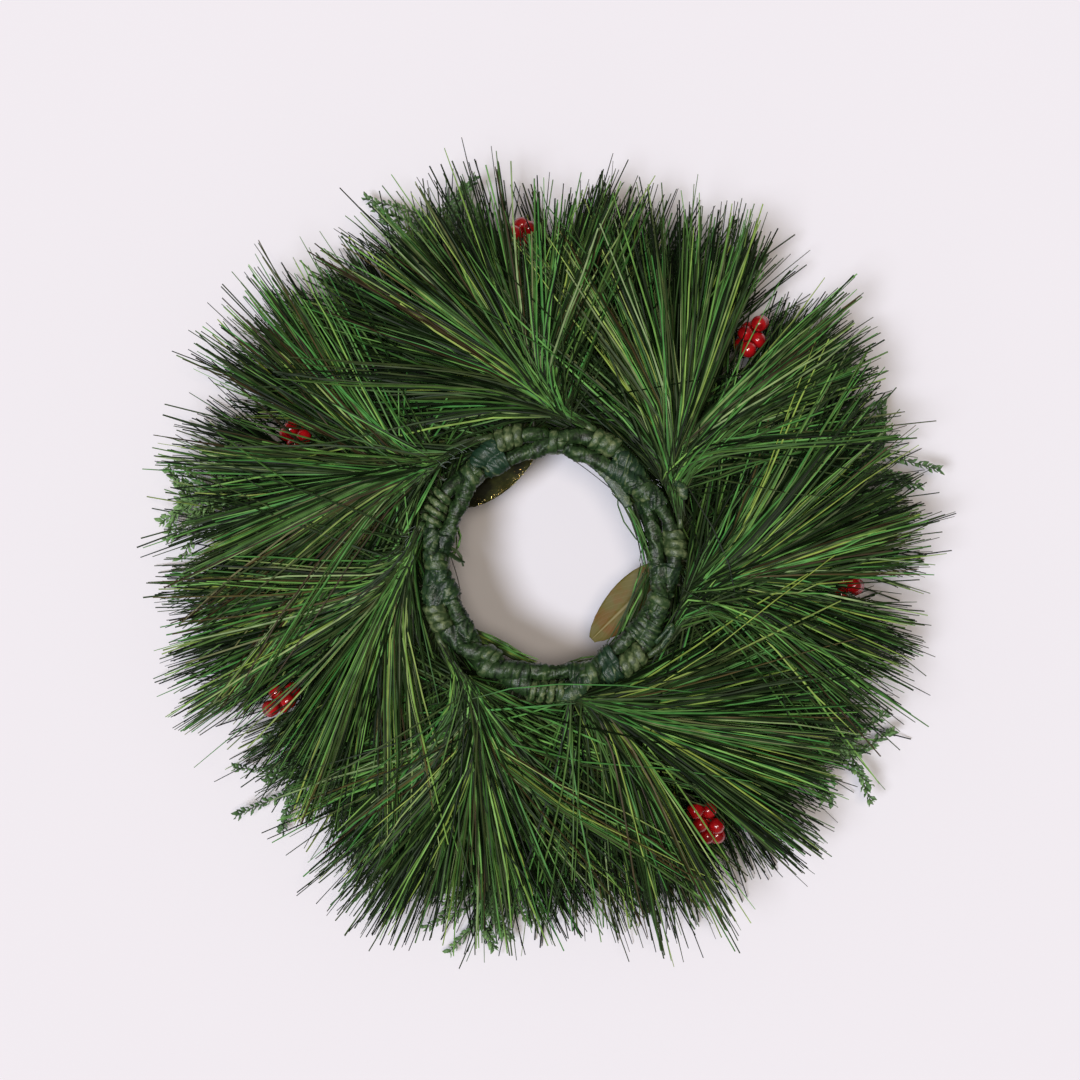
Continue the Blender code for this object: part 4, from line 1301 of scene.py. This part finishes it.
def build_lower_bunches(pine, materials):
    """The seven bunches of the wreath's face, which reach down to the floor."""
    draws = np.random.default_rng(pine.seed + 1)
    around = (draws, placed_room(), places_in_view())
    for index in range(len(TIE_ANGLES)):
        axis = LOWER_ROOT_ANGLES[index] + LOWER_LEAN
        core = core_line(lower_root(index), lower_heading(index))
        path = bezier_path(*lower_run(index), 20) + core
        growth = [
            grow_bunch(
                pine, axis, path, LOWER_SPREAD, LOWER_TILTS, pine.lower_needles, LOWER_BOW, *around),
            grow_along_run(
                pine, path, LOWER_RUN_SPREAD, LOWER_RUN_TILTS, pine.run_needles * 2, LOWER_RUN_REACH,
                *around)]
        build_bunch(
            pine, f"pine_bunch_face_{index + 1}", f"lower_needles_{index + 1}", "lower_needle",
            materials, core, growth, draws)


def berry_places(order):
    """A berry spray's wire and the centres of its berries, where the frame has them."""
    draws = random.Random(FRAME_SEED)
    phases = [draws.uniform(0.0, math.tau) for _ in BERRY_SPRAYS]
    carrier, angle, radius, height, count = BERRY_SPRAYS[order]
    seat = seat_beside_run(carrier, BERRY_SEAT, 0.0, -WIRE_OFFSET)
    end = polar_mm(angle, radius, height)
    path = wire_path(seat, end, 6)
    way = (path[-1] - path[-2]).normalized()
    side, upright = axes_beside(way)
    centres = []
    for number in range(count):
        centre = end + way * (4.0 * MM - BERRY_STEP * number)
        if number > 0:
            turn = phases[order] + number * math.radians(BERRY_TURN)
            centre += (side * math.cos(turn) + upright * math.sin(turn)) * 4.0 * MM
        centres.append(centre)
    return wire_path(seat, end, 24), centres


def add_berry(heap, centre, radius, way, tone):
    """A smooth bead with a small dimple where its stalk goes in."""
    cage = bmesh.new()
    bmesh.ops.create_icosphere(cage, subdivisions=3, radius=1.0)
    places = []
    for vert in cage.verts:
        spot = vert.co.normalized()
        dimple = math.exp(-((spot + way).length / 0.32) ** 2)
        wobble = 1.0 + 0.035 * noise.noise(spot * 1.6 + centre / (5.0 * MM))
        places.append(centre + spot * radius * wobble * (1.0 - 0.16 * dimple))
    faces = [tuple(vert.index for vert in face.verts) for face in cage.faces]
    heap.add(places, faces, tone, 0.5, 1)
    cage.free()


def build_berry_sprays(trim, wire, lacquer):
    """Glossy berries close round the end of each wire, each on a short stalk."""
    rng = random.Random(31)
    for order in range(len(BERRY_SPRAYS)):
        path, centres = berry_places(order)
        heap = Heap()
        add_tube(heap, path, WIRE_RADIUS, 8, 0.4, 0, 0.7)
        for number, centre in enumerate(centres):
            stalk_from = path[-1 - 3 * min(number // 2, 4)]
            way = (centre - stalk_from).normalized()
            if number:
                bend = stalk_from.lerp(centre, 0.5) - (path[-1] - path[-4]).normalized() * 1.2 * MM
                add_tube(heap, [stalk_from, bend, centre - way * 3.0 * MM], 0.45 * MM, 6, 0.4)
            radius = trim.berry_radius * rng.uniform(0.95, 1.06)
            add_berry(heap, centre, radius, way, rng.random())
        spray = heap.build(f"berries_{order + 1}", [wire, lacquer])
        settle(spray, "berry_red", f"berry_spray_{order + 1}")


def add_small_leaf(heap, root, direction, up, length, width, tone):
    """A small leaf, folded along its middle and pointed, as a thin closed blade."""
    across = up.cross(direction).normalized()
    normal = direction.cross(across).normalized()
    outline = [(0.0, 0.1), (0.55, 1.0), (1.0, 0.08)]
    places = []
    for share, half in outline:
        middle = root + direction * length * share - normal * length * 0.16 * share * share
        rise = normal * width * 0.16 * half
        thick = normal * 0.12 * MM
        edge = across * width * 0.5 * half
        places += [
            middle - edge + rise + thick, middle + thick, middle + edge + rise + thick,
            middle + edge + rise - thick, middle - thick, middle - edge + rise - thick]
    along = np.repeat([share for share, _ in outline], 6)
    heap.add(places, loft_faces(len(outline), 6, False), tone, along, 1)


def add_twig(heap, path, leaves, length, rng, tone):
    """Small leaves one after another round the outer part of a twig."""
    for number in range(leaves):
        share = 1.0 - 0.97 * (number / leaves) ** 1.1
        index, spot = step_at(path, share)
        root = path[index].lerp(path[index + 1], spot)
        way = (path[index + 1] - path[index]).normalized()
        side, upright = axes_beside(way)
        turn = math.radians(LEAF_TURN) * number + rng.uniform(-0.5, 0.5)
        out = side * math.cos(turn) + upright * math.sin(turn)
        direction = (way * rng.uniform(0.5, 1.0) + out).normalized()
        size = length * rng.uniform(0.75, 1.15)
        if root.z + direction.z * size < LOWEST_LEAF:
            direction.z = abs(direction.z)
        own_tone = clamped(tone + rng.gauss(0.0, 0.16))
        add_small_leaf(heap, root, direction.normalized(), out.cross(direction) + out, size,
                       size * rng.uniform(0.5, 0.68), own_tone)


def build_leafy_sprays(trim, wire, leaf_film):
    """Sprays of small leaves: a wire with side twigs, all close with leaves."""
    rng = random.Random(47)
    for order, (carrier, angle, radius, height) in enumerate(LEAFY_SPRAYS):
        seat = seat_beside_run(carrier, LEAFY_SEAT, WIRE_OFFSET, 0.0)
        path = wire_path(seat, polar_mm(angle, radius, height), 28)
        heap = Heap()
        add_tube(heap, path, WIRE_RADIUS, 8, 0.4, 0, 0.5)
        pale = LEAF_TONES[order]
        add_twig(heap, path[-11:], trim.leaves_a_twig * 2, trim.small_leaf_length, rng, pale)
        way = (path[-1] - path[-3]).normalized()
        for branch in range(trim.twigs):
            start = path[-10 + branch % 9]
            side = axes_beside(way)[0] * (1.0 if branch % 2 else -1.0)
            length = rng.uniform(18.0, 40.0) * MM
            tip = start + (way + side * rng.uniform(0.25, 1.5)).normalized() * length
            tip.z = max(tip.z + rng.uniform(-4.0, 14.0) * MM, LOWEST_TWIG)
            if tip.xy.length > OUTERMOST_LEAF:
                tip.xy *= OUTERMOST_LEAF / tip.xy.length
            twig = bezier_path(start, start + way * length * 0.3, tip.lerp(start, 0.3), tip, 8)
            add_tube(heap, twig, 0.4 * MM, 6, 0.4, 0, 0.5)
            add_twig(heap, twig, trim.leaves_a_twig, trim.small_leaf_length, rng, pale)
        spray = heap.build(f"small_leaves_{order + 1}", [wire, leaf_film])
        settle(spray, "small_leaf", f"leafy_spray_{order + 1}")


def broad_leaf_spines():
    """Midrib, level axis and width of each broad leaf, inner ones first."""
    spines = []
    for _, base, tip in INNER_LEAVES:
        first, last = polar_mm(*base), polar_mm(*tip)
        across = UP.cross((last - first).normalized()).normalized()
        spine = []
        for row in range(INNER_LEAF_ROWS + 1):
            level = first.lerp(last, row / INNER_LEAF_ROWS)
            level.z -= LEAF_SAG * math.sin(math.pi * row / INNER_LEAF_ROWS)
            spine.append(level)
        spines.append((spine, across, INNER_LEAF_WIDTH))
    for carrier in OUTER_LEAVES:
        seat = seat_beside_run(carrier, OUTER_LEAF_SEAT, 0.0, -WIRE_OFFSET)
        angle = math.degrees(math.atan2(seat.y, seat.x))
        spine = [polar(angle, radius * MM, LEAF_LIFT + height * MM) for radius, height in OUTER_SPINE]
        spines.append((spine, heading(angle + 90.0, 0.0), OUTER_LEAF_WIDTH))
    return spines


def leaf_half_width(share, width):
    """Half a broad leaf's width there: pointed at both ends and widest before its middle."""
    share = 0.02 + 0.96 * share
    return 0.5 * width * math.sin(math.pi * share ** 0.85) ** 0.62


def leaf_point(spine, across, width, along, side):
    """A point of a broad leaf's upper face: along its midrib from 0 to 1 and across from -1 to 1."""
    index, spot = step_at(spine, along)
    middle = spine[index].lerp(spine[index + 1], spot)
    place = middle + across * side * leaf_half_width(along, width)
    groove = math.exp(-(side / 0.07) ** 2)
    ripple = 0.16 * math.sin(math.tau * (VEINS * (along - VEIN_SLANT * abs(side))))
    wave = 0.5 * abs(side) ** 3 * math.sin(math.tau * (3.1 * along + 0.3 * side))
    place.z += (-0.45 * groove + ripple * (1.0 - groove) + wave) * MM * smooth_step(along * 8.0)
    return place


def build_leaf_blade(name, node, spine, across, width, material):
    """A pressed leaf, as a grid of points over its midrib with a thickness below it."""
    places, tones, alongs = [], [], []
    for row in range(BLADE_ROWS + 1):
        for column in range(BLADE_COLUMNS + 1):
            side = 2.0 * column / BLADE_COLUMNS - 1.0
            place = leaf_point(spine, across, width, row / BLADE_ROWS, side)
            place.z = max(place.z, LOWEST_BLADE)
            places.append(place)
            tones.append(side)
            alongs.append(row / BLADE_ROWS)
    faces = []
    for row in range(BLADE_ROWS):
        for column in range(BLADE_COLUMNS):
            corner = row * (BLADE_COLUMNS + 1) + column
            beyond = corner + BLADE_COLUMNS + 1
            faces.append((corner, corner + 1, beyond + 1, beyond))
    heap = Heap()
    heap.add(places, faces, tones, alongs)
    blade = heap.build(name, [material])
    if blade.data.polygons[0].normal.z < 0.0:
        blade.data.flip_normals()
    solid = blade.modifiers.new("thickness", "SOLIDIFY")
    solid.thickness = BLADE_THICKNESS
    solid.offset = -1.0
    settle(blade, "broad_leaf", node)


def build_leaf_stalk(name, spine, seat, wire):
    """The wire of a broad leaf, from the stem that carries it to the underside of the blade."""
    joint = spine[0].lerp(spine[1], 0.7) - UP * STALK_DROP
    before = spine[0] - (spine[1] - spine[0]) * 0.3
    heap = Heap()
    add_tube(heap, bezier_path(seat, seat.lerp(joint, 0.4), before, joint, 14), 0.8 * MM, 8, 0.4, 0, 0.6)
    settle(heap.build(name, [wire]), "broad_leaf")


def build_broad_leaves(dark_leaf, olive_leaf, wire):
    """Pressed leaves on wired stalks: two under the ring, and three that lie on the floor."""
    seats = [
        seat_beside_run(carrier, INNER_LEAF_SEAT, -WIRE_OFFSET, 0.0) for carrier, _, _ in INNER_LEAVES]
    seats += [seat_beside_run(carrier, OUTER_LEAF_SEAT, 0.0, -WIRE_OFFSET) for carrier in OUTER_LEAVES]
    names = ["inner_leaf_1", "inner_leaf_2", "outer_leaf_1", "outer_leaf_2", "outer_leaf_3"]
    for order, (spine, across, width) in enumerate(broad_leaf_spines()):
        material = olive_leaf if order else dark_leaf
        build_leaf_blade(f"pressed_{names[order]}", names[order], spine, across, width, material)
        build_leaf_stalk(f"leaf_stalk_{order + 1}", spine, seats[order], wire)


def build_glitter(trim, glitter):
    """Small raised gold flecks, most of them along the near rim of the dark leaf."""
    rng = random.Random(53)
    heap = Heap()
    spine, across, width = broad_leaf_spines()[0]
    for number in range(trim.glitter_flecks):
        along = rng.uniform(0.2, 0.98)
        side = -1.0 + abs(rng.gauss(0.0, 0.14)) if number % 5 else rng.uniform(-1.0, -0.5)
        centre = leaf_point(spine, across, width, along, side) + Vector((0.0, 0.0, 0.12 * MM))
        size = rng.uniform(0.08, 0.2) * MM
        first = Vector([rng.gauss(0, 1) for _ in range(3)]).normalized()
        second = first.orthogonal().normalized()
        heap.add([
            centre + axis * size * sign
            for axis in (first, second, first.cross(second)) for sign in (1.0, -1.0)], FLECK_FACES)
    settle(heap.build("leaf_glitter", [glitter], smooth=False), "broad_leaf")


def build_stray_wires(wire):
    """Thin wires that cross the hole close to the ring."""
    heap = Heap()
    for places in HOLE_WIRES:
        add_tube(heap, smooth_line([Vector(place) * MM for place in places], 10), 0.22 * MM, 6, 0.3)
    settle(heap.build("stray_wires", [wire]), "floral_tape")


def build_hole_needles(pine, needle):
    """Stray needles that show in the hole, and more that lie close under the ring."""
    draws = np.random.default_rng(62)
    lines, widths, tones = [], [], []
    for number, stray, width, palest, places in HOLE_NEEDLES:
        for _ in range(number):
            lines.append([
                np.array(place) * MM + draws.normal(0.0, 1.0, 3) * stray * MM for place in places])
            widths.append(0.5 * width * pine.needle_width)
            tones.append(palest * draws.uniform(0.45, 1.0))
    for _ in range(UNDER_RING_NEEDLES):
        start, span = draws.uniform(0.0, 360.0), draws.uniform(30.0, 56.0)
        radius, height = draws.uniform(53.0, 59.0), draws.uniform(46.5, 52.5)
        lines.append([
            np.array(polar_mm(start + span * share, radius, height)) for share in (0.0, 0.5, 1.0)])
        widths.append(0.6 * pine.needle_width)
        tones.append(draws.uniform(0.0, 0.5))
    controls = []
    for first, middle, last in lines:
        bent = middle * 2.0 - (first + last) * 0.5
        controls.append([
            first, first + (bent - first) * 2.0 / 3.0, last + (bent - last) * 2.0 / 3.0, last])
    count = len(controls)
    heap = Heap()
    sweep_strips(
        heap, np.array(controls), np.array(widths), np.full(count, 0.18 * MM),
        draws.uniform(-0.5, 0.5, count), draws.normal(0.0, 0.3, count), np.array(tones),
        np.full(count, 0.5))
    settle(heap.build("hole_needles", [needle], smooth=False), "upper_needle")


def build_fibres(fibre):
    """Short pale fibres where the tape is frayed."""
    rng = random.Random(61)
    heap = Heap()
    for angle, radius, number in FRAYED_SPOTS:
        for _ in range(number):
            start = polar(angle + rng.gauss(0.0, 4.5), (radius + rng.gauss(0.0, 1.2)) * MM,
                          RING_HEIGHT + rng.uniform(0.0, 3.0) * MM)
            way = heading(angle + rng.gauss(35.0, 30.0), rng.uniform(0.0, 30.0))
            end = start + way * rng.uniform(2.5, 6.5) * MM
            bend = start.lerp(end, 0.5) + Vector((rng.gauss(0, 0.5), rng.gauss(0, 0.5), 0.6)) * MM
            add_tube(heap, smooth_line([start, bend, end], 4), 0.1 * MM, 4, rng.random(), 0, 0.4)
    settle(heap.build("frayed_fibres", [fibre]), "floral_tape")


def add_sun(name, strength, colour, softness, azimuth, height):
    """A distant light, as wide in the sky as its softness in degrees."""
    lamp = bpy.data.lights.new(name, "SUN")
    lamp.energy = strength
    lamp.color = colour
    lamp.angle = math.radians(softness)
    item = link_object(name, lamp)
    item.rotation_mode = "QUATERNION"
    item.rotation_quaternion = heading(azimuth, height).to_track_quat("Z", "Y")


def build_stage(stage):
    """The floor, the soft light and the camera straight above."""
    world = bpy.data.worlds.new("soft_room")
    bpy.context.scene.world = world
    world.use_nodes = True
    background = world.node_tree.nodes["Background"]
    background.inputs["Color"].default_value = (*stage.fill_colour, 1.0)
    background.inputs["Strength"].default_value = stage.fill_strength
    bpy.context.scene.view_settings.view_transform = "Standard"

    cage = bmesh.new()
    bmesh.ops.create_grid(cage, x_segments=1, y_segments=1, size=FLOOR_REACH)
    bmesh.ops.translate(cage, verts=cage.verts, vec=(0.0, 0.0, -FLOOR_DROP))
    sheet = bpy.data.meshes.new("pale_floor")
    cage.to_mesh(sheet)
    cage.free()
    sheet.materials.append(floor_material(tuple(stage.floor_colour)))
    floor = link_object("pale_floor", sheet)

    add_sun("key_light", stage.key_strength, stage.key_colour, stage.key_softness,
            stage.key_azimuth, stage.key_height)
    add_sun("top_light", stage.top_strength, stage.top_colour, stage.top_softness,
            stage.key_azimuth - 180.0, TOP_LIGHT_HEIGHT)

    lens = bpy.data.cameras.new("camera_above")
    lens.lens = stage.lens
    camera = link_object("camera_above", lens)
    camera.location = (stage.camera_x, stage.camera_y, RING_HEIGHT + stage.camera_height)
    bpy.context.scene.camera = camera


class WreathRingSettings(bpy.types.PropertyGroup):
    strand_radius: FloatProperty(
        name="Strand radius", description="Radius of each tape-wrapped strand of the ring",
        default=3.3 * MM, unit="LENGTH")
    coil_reach: FloatProperty(
        name="Coil reach", description="Distance from the strand's axis to the middle of a coil's band",
        default=4.05 * MM, unit="LENGTH")
    band_width: FloatProperty(
        name="Band width", description="Width of a coil's flattened band along the strand",
        default=4.3 * MM, unit="LENGTH")
    band_thickness: FloatProperty(
        name="Band thickness", description="Thickness of a coil's flattened band",
        default=2.8 * MM, unit="LENGTH")
    crease_depth: FloatProperty(
        name="Crease depth", description="Depth of the creases in the tape on strands and coils",
        default=0.68 * MM, unit="LENGTH")
    # The dark tape colour lies in the creases, as painted shade, and in darker mottled patches
    dark_tape: FloatVectorProperty(
        name="Dark tape", description="Tape colour in its darker patches", subtype="COLOR",
        default=(0.0030, 0.0100, 0.0026))
    light_tape: FloatVectorProperty(
        name="Light tape", description="Tape colour in its lighter patches", subtype="COLOR",
        default=(0.026, 0.062, 0.0160))
    # This colour lies on the ridges: partly wear, partly painted highlight
    pale_ridge_tape: FloatVectorProperty(
        name="Worn tape", description="Colour where the tape is rubbed pale", subtype="COLOR",
        default=(0.145, 0.185, 0.080))


class WreathPineSettings(bpy.types.PropertyGroup):
    needle_width: FloatProperty(
        name="Needle width", description="Width of a flat pine needle", default=0.78 * MM,
        unit="LENGTH")
    needle_thickness: FloatProperty(
        name="Needle thickness", description="Thickness of a pine needle", default=0.4 * MM,
        unit="LENGTH")
    needle_length: FloatProperty(
        name="Needle length", description="Usual length from the bunch's root to a needle's tip",
        default=131.0 * MM, unit="LENGTH")
    outline_radius: FloatProperty(
        name="Outline radius", description="Distance from the axis that no needle passes",
        default=205.0 * MM, unit="LENGTH")
    tip_margin: FloatProperty(
        name="Tip margin", description="Usual distance of the needles' tips beyond the outline",
        default=1.5 * MM, unit="LENGTH")
    ragged: FloatProperty(
        name="Ragged edge", description="Usual unevenness of the needles' tips", default=5.0 * MM,
        unit="LENGTH")
    sway: FloatProperty(
        name="Sway", description="Usual sideways bend of a needle", default=2.4 * MM, unit="LENGTH")
    trailing: FloatProperty(
        name="Trailing", description="How far short of the outline many of the needles end",
        default=42.0 * MM, unit="LENGTH")
    upper_needles: IntProperty(
        name="Back needles", description="Number of needles in a bunch on the back", default=900)
    lower_needles: IntProperty(
        name="Face needles", description="Number of needles in a bunch of the face", default=660)
    run_needles: IntProperty(
        name="Needles near the ring", description="Number of needles that spring from a stem",
        default=120)
    sheath_needles: IntProperty(
        name="Needles along a stem", description="Number of needles that lie along a stem and hide it",
        default=110)
    tufts: IntProperty(
        name="Tufts", description="Number of directions in which a bunch's needles gather", default=54)
    seed: IntProperty(name="Seed", description="Start of the random draws for needles", default=7)
    root_colour: FloatVectorProperty(
        name="Root colour", description="Colour of a needle at its root", subtype="COLOR",
        default=(0.021, 0.031, 0.013))


class WreathTrimSettings(bpy.types.PropertyGroup):
    berry_radius: FloatProperty(
        name="Berry radius", description="Radius of a berry", default=4.0 * MM, unit="LENGTH")
    berry_colour: FloatVectorProperty(
        name="Berry colour", description="Red of the berries", subtype="COLOR",
        default=(0.52, 0.008, 0.012))
    small_leaf_length: FloatProperty(
        name="Small leaf length", description="Usual length of a small leaf", default=3.6 * MM,
        unit="LENGTH")
    leaves_a_twig: IntProperty(
        name="Leaves a twig", description="Number of small leaves on a side twig", default=40)
    twigs: IntProperty(
        name="Twigs", description="Number of side twigs on a spray of small leaves", default=13)
    glitter_flecks: IntProperty(
        name="Glitter flecks", description="Number of gold flecks on the dark leaf's rim", default=420)


class WreathStageSettings(bpy.types.PropertyGroup):
    camera_height: FloatProperty(
        name="Camera height", description="Height of the camera above the ring", default=1.2,
        unit="LENGTH")
    camera_x: FloatProperty(
        name="Camera X", description="Sideways place of the camera", default=-5.2 * MM, unit="LENGTH")
    camera_y: FloatProperty(
        name="Camera Y", description="Place of the camera along Y", default=9.9 * MM, unit="LENGTH")
    lens: FloatProperty(
        name="Lens", description="Focal length of the camera, in millimetres", default=85.0)
    key_strength: FloatProperty(
        name="Key strength", description="Strength of the main soft light", default=2.2)
    key_colour: FloatVectorProperty(
        name="Key colour", description="Colour of the main soft light", subtype="COLOR",
        default=(0.90, 0.93, 1.0))
    key_softness: FloatProperty(
        name="Key softness", description="Width of the main light in the sky, in degrees",
        default=17.0)
    key_azimuth: FloatProperty(
        name="Key azimuth", description="Side that the main light comes from, in degrees", default=210.0)
    key_height: FloatProperty(
        name="Key height", description="Height of the main light above the horizon, in degrees",
        default=69.0)
    top_strength: FloatProperty(
        name="Top strength", description="Strength of the soft light from straight above", default=1.02)
    top_colour: FloatVectorProperty(
        name="Top colour", description="Colour of the soft light from straight above",
        subtype="COLOR", default=(1.0, 0.88, 0.72))
    top_softness: FloatProperty(
        name="Top softness", description="Width of the light above in the sky, in degrees",
        default=15.0)
    fill_strength: FloatProperty(
        name="Fill strength", description="Strength of the light from all round", default=0.15)
    fill_colour: FloatVectorProperty(
        name="Fill colour", description="Colour of the light from all round", subtype="COLOR",
        default=(1.0, 0.90, 0.80))
    floor_colour: FloatVectorProperty(
        name="Floor colour", description="Colour of the pale floor", subtype="COLOR",
        default=(0.845, 0.825, 0.885))


def ring_tape(ring, name, pale_ridges_from, blue=None):
    """Tape in the ring's own colours: pale where its ridges rise past a threshold, partly as wear
    and partly as painted highlight, and dark in its creases as painted shade.
    """
    return tape_material(
        name, tuple(ring.dark_tape), tuple(ring.light_tape), tuple(ring.pale_ridge_tape), pale_ridges_from, blue)


def needle_greens(strength):
    """Colours of the needles from dark to bright green and to brown, with olive ones between."""
    stops = [
        (0.0, (0.0022, 0.0060, 0.0012)),
        (0.22, (0.0070, 0.0180, 0.0042)),
        (0.42, (0.0310, 0.0620, 0.0180)),
        (0.50, (0.0640, 0.0860, 0.0290)),
        (0.56, (0.0460, 0.1400, 0.0290)),
        (0.64, (0.1000, 0.1950, 0.0450)),
        (0.71, (0.0720, 0.2900, 0.0640)),
        (0.78, (0.2100, 0.4500, 0.1000)),
        (0.84, (0.3300, 0.4400, 0.0800)),
        (0.90, (0.2900, 0.4200, 0.1900)),
        (0.95, (0.1200, 0.0950, 0.0350)),
        (1.0, (0.0420, 0.0260, 0.0120)),
    ]
    return [(place, scaled(strength, colour)) for place, colour in stops]


class WREATH_OT_strands(bpy.types.Operator):
    """Builds the two tape-wrapped strands of the ring"""
    bl_idname = "wreath.strands"
    bl_label = "Taped strands"

    def execute(self, context):
        ring = context.scene.wreath_ring
        build_strands(ring, ring_tape(ring, "tape_on_strands", 0.32))
        return {"FINISHED"}


class WREATH_OT_pick_stems(bpy.types.Operator):
    """Builds the coiled stems of the upper picks and the tied stems of the lower ones"""
    bl_idname = "wreath.pick_stems"
    bl_label = "Coils and ties"

    def execute(self, context):
        ring = context.scene.wreath_ring
        # The coils' tape, like the rest, is dark in its creases as painted shade and pale on its ridges,
        # partly as wear and partly as painted highlight
        coil_tape = tape_material(
            "tape_on_coils", (0.005, 0.013, 0.003), (0.034, 0.062, 0.019), tuple(ring.pale_ridge_tape), 0.37)
        stem_tape = ring_tape(ring, "tape_on_stems", 0.34)
        build_pick_stems(ring, [coil_tape, stem_tape])
        build_ties(ring, stem_tape)
        return {"FINISHED"}


class WREATH_OT_wraps(bpy.types.Operator):
    """Builds the loose folds of tape that bind the strands"""
    bl_idname = "wreath.wraps"
    bl_label = "Tape wraps"

    def execute(self, context):
        ring = context.scene.wreath_ring
        build_wraps(ring, ring_tape(ring, "tape_in_folds", 0.31, (0.011, 0.040, 0.020)))
        return {"FINISHED"}


class WREATH_OT_pine(bpy.types.Operator):
    """Builds the bunches of pine needles on the back and on the face"""
    bl_idname = "wreath.pine"
    bl_label = "Pine bunches"

    def execute(self, context):
        pine = context.scene.wreath_pine
        root_colour = tuple(pine.root_colour)
        core = wire_material("bunch_core", (0.020, 0.024, 0.013), 0.6)
        back = needle_material("back_needle", needle_greens(1.0), root_colour)
        # The face's needles take their greens at 0.62 of full strength: painted shade, for the shade
        # that they lie in under the back's bunches
        face = needle_material("face_needle", needle_greens(0.62), root_colour)
        build_upper_bunches(pine, [back, core])
        build_lower_bunches(pine, [face, core])
        return {"FINISHED"}


class WREATH_OT_berries(bpy.types.Operator):
    """Builds the sprays of red berries"""
    bl_idname = "wreath.berries"
    bl_label = "Berry sprays"

    def execute(self, context):
        trim = context.scene.wreath_trim
        wire = wire_material("berry_wire", (0.035, 0.040, 0.020), 0.55)
        build_berry_sprays(trim, wire, berry_material(tuple(trim.berry_colour)))
        return {"FINISHED"}


class WREATH_OT_leaves(bpy.types.Operator):
    """Builds the sprays of small leaves and the broad leaves"""
    bl_idname = "wreath.leaves"
    bl_label = "Leaves"

    def execute(self, context):
        trim = context.scene.wreath_trim
        wire = wire_material("leaf_wire", (0.040, 0.050, 0.022), 0.55)
        film = small_leaf_material((0.024, 0.085, 0.028), (0.210, 0.380, 0.130))
        build_leafy_sprays(trim, wire, film)
        dark_leaf = broad_leaf_material(
            "dark_pressed_leaf", (0.007, 0.008, 0.002), (0.036, 0.040, 0.008), (0.026, 0.027, 0.008),
            0.05)
        olive_leaf = broad_leaf_material(
            "olive_pressed_leaf", (0.125, 0.106, 0.026), (0.160, 0.078, 0.018), (0.240, 0.205, 0.092),
            0.14)
        build_broad_leaves(dark_leaf, olive_leaf, wire)
        build_glitter(trim, glitter_material())
        return {"FINISHED"}


class WREATH_OT_loose_bits(bpy.types.Operator):
    """Builds the stray wires, needles and fibres round the hole"""
    bl_idname = "wreath.loose_bits"
    bl_label = "Loose bits"

    def execute(self, context):
        pine = context.scene.wreath_pine
        build_stray_wires(wire_material("stray_wire", (0.020, 0.018, 0.016), 0.5))
        needle = needle_material("stray_needle", needle_greens(0.8), (0.05, 0.07, 0.03))
        build_hole_needles(pine, needle)
        build_fibres(wire_material("frayed_fibre", (0.30, 0.38, 0.34), 0.6))
        return {"FINISHED"}


class WREATH_OT_stage(bpy.types.Operator):
    """Builds the floor, the light and the camera"""
    bl_idname = "wreath.stage"
    bl_label = "Stage"

    def execute(self, context):
        build_stage(context.scene.wreath_stage)
        return {"FINISHED"}


OPERATORS = (
    WREATH_OT_stage, WREATH_OT_strands, WREATH_OT_pick_stems, WREATH_OT_wraps, WREATH_OT_pine,
    WREATH_OT_berries, WREATH_OT_leaves, WREATH_OT_loose_bits,
)
SETTINGS = {
    "wreath_ring": WreathRingSettings,
    "wreath_pine": WreathPineSettings,
    "wreath_trim": WreathTrimSettings,
    "wreath_stage": WreathStageSettings,
}


class WREATH_PT_panel(bpy.types.Panel):
    """Lists the wreath's pieces and their settings"""
    bl_idname = "WREATH_PT_panel"
    bl_label = "Christmas wreath"
    bl_space_type = "VIEW_3D"
    bl_region_type = "UI"
    bl_category = "Wreath"

    def draw(self, context):
        for group_name, group in SETTINGS.items():
            box = self.layout.box()
            for setting in group.__annotations__:
                box.prop(getattr(context.scene, group_name), setting)
        for operator in OPERATORS:
            self.layout.operator(operator.bl_idname)


def register():
    noise.seed_set(NOISE_SEED)
    for group_name, group in SETTINGS.items():
        bpy.utils.register_class(group)
        setattr(bpy.types.Scene, group_name, PointerProperty(type=group))
    for item in OPERATORS + (WREATH_PT_panel,):
        bpy.utils.register_class(item)


def unregister():
    for item in reversed(OPERATORS + (WREATH_PT_panel,)):
        bpy.utils.unregister_class(item)
    for group_name, group in SETTINGS.items():
        delattr(bpy.types.Scene, group_name)
        bpy.utils.unregister_class(group)


def main():
    register()
    bpy.ops.wreath.stage()
    bpy.ops.wreath.strands()
    bpy.ops.wreath.pick_stems()
    bpy.ops.wreath.wraps()
    bpy.ops.wreath.pine()
    bpy.ops.wreath.berries()
    bpy.ops.wreath.leaves()
    bpy.ops.wreath.loose_bits()


if __name__ == "__main__":
    main()
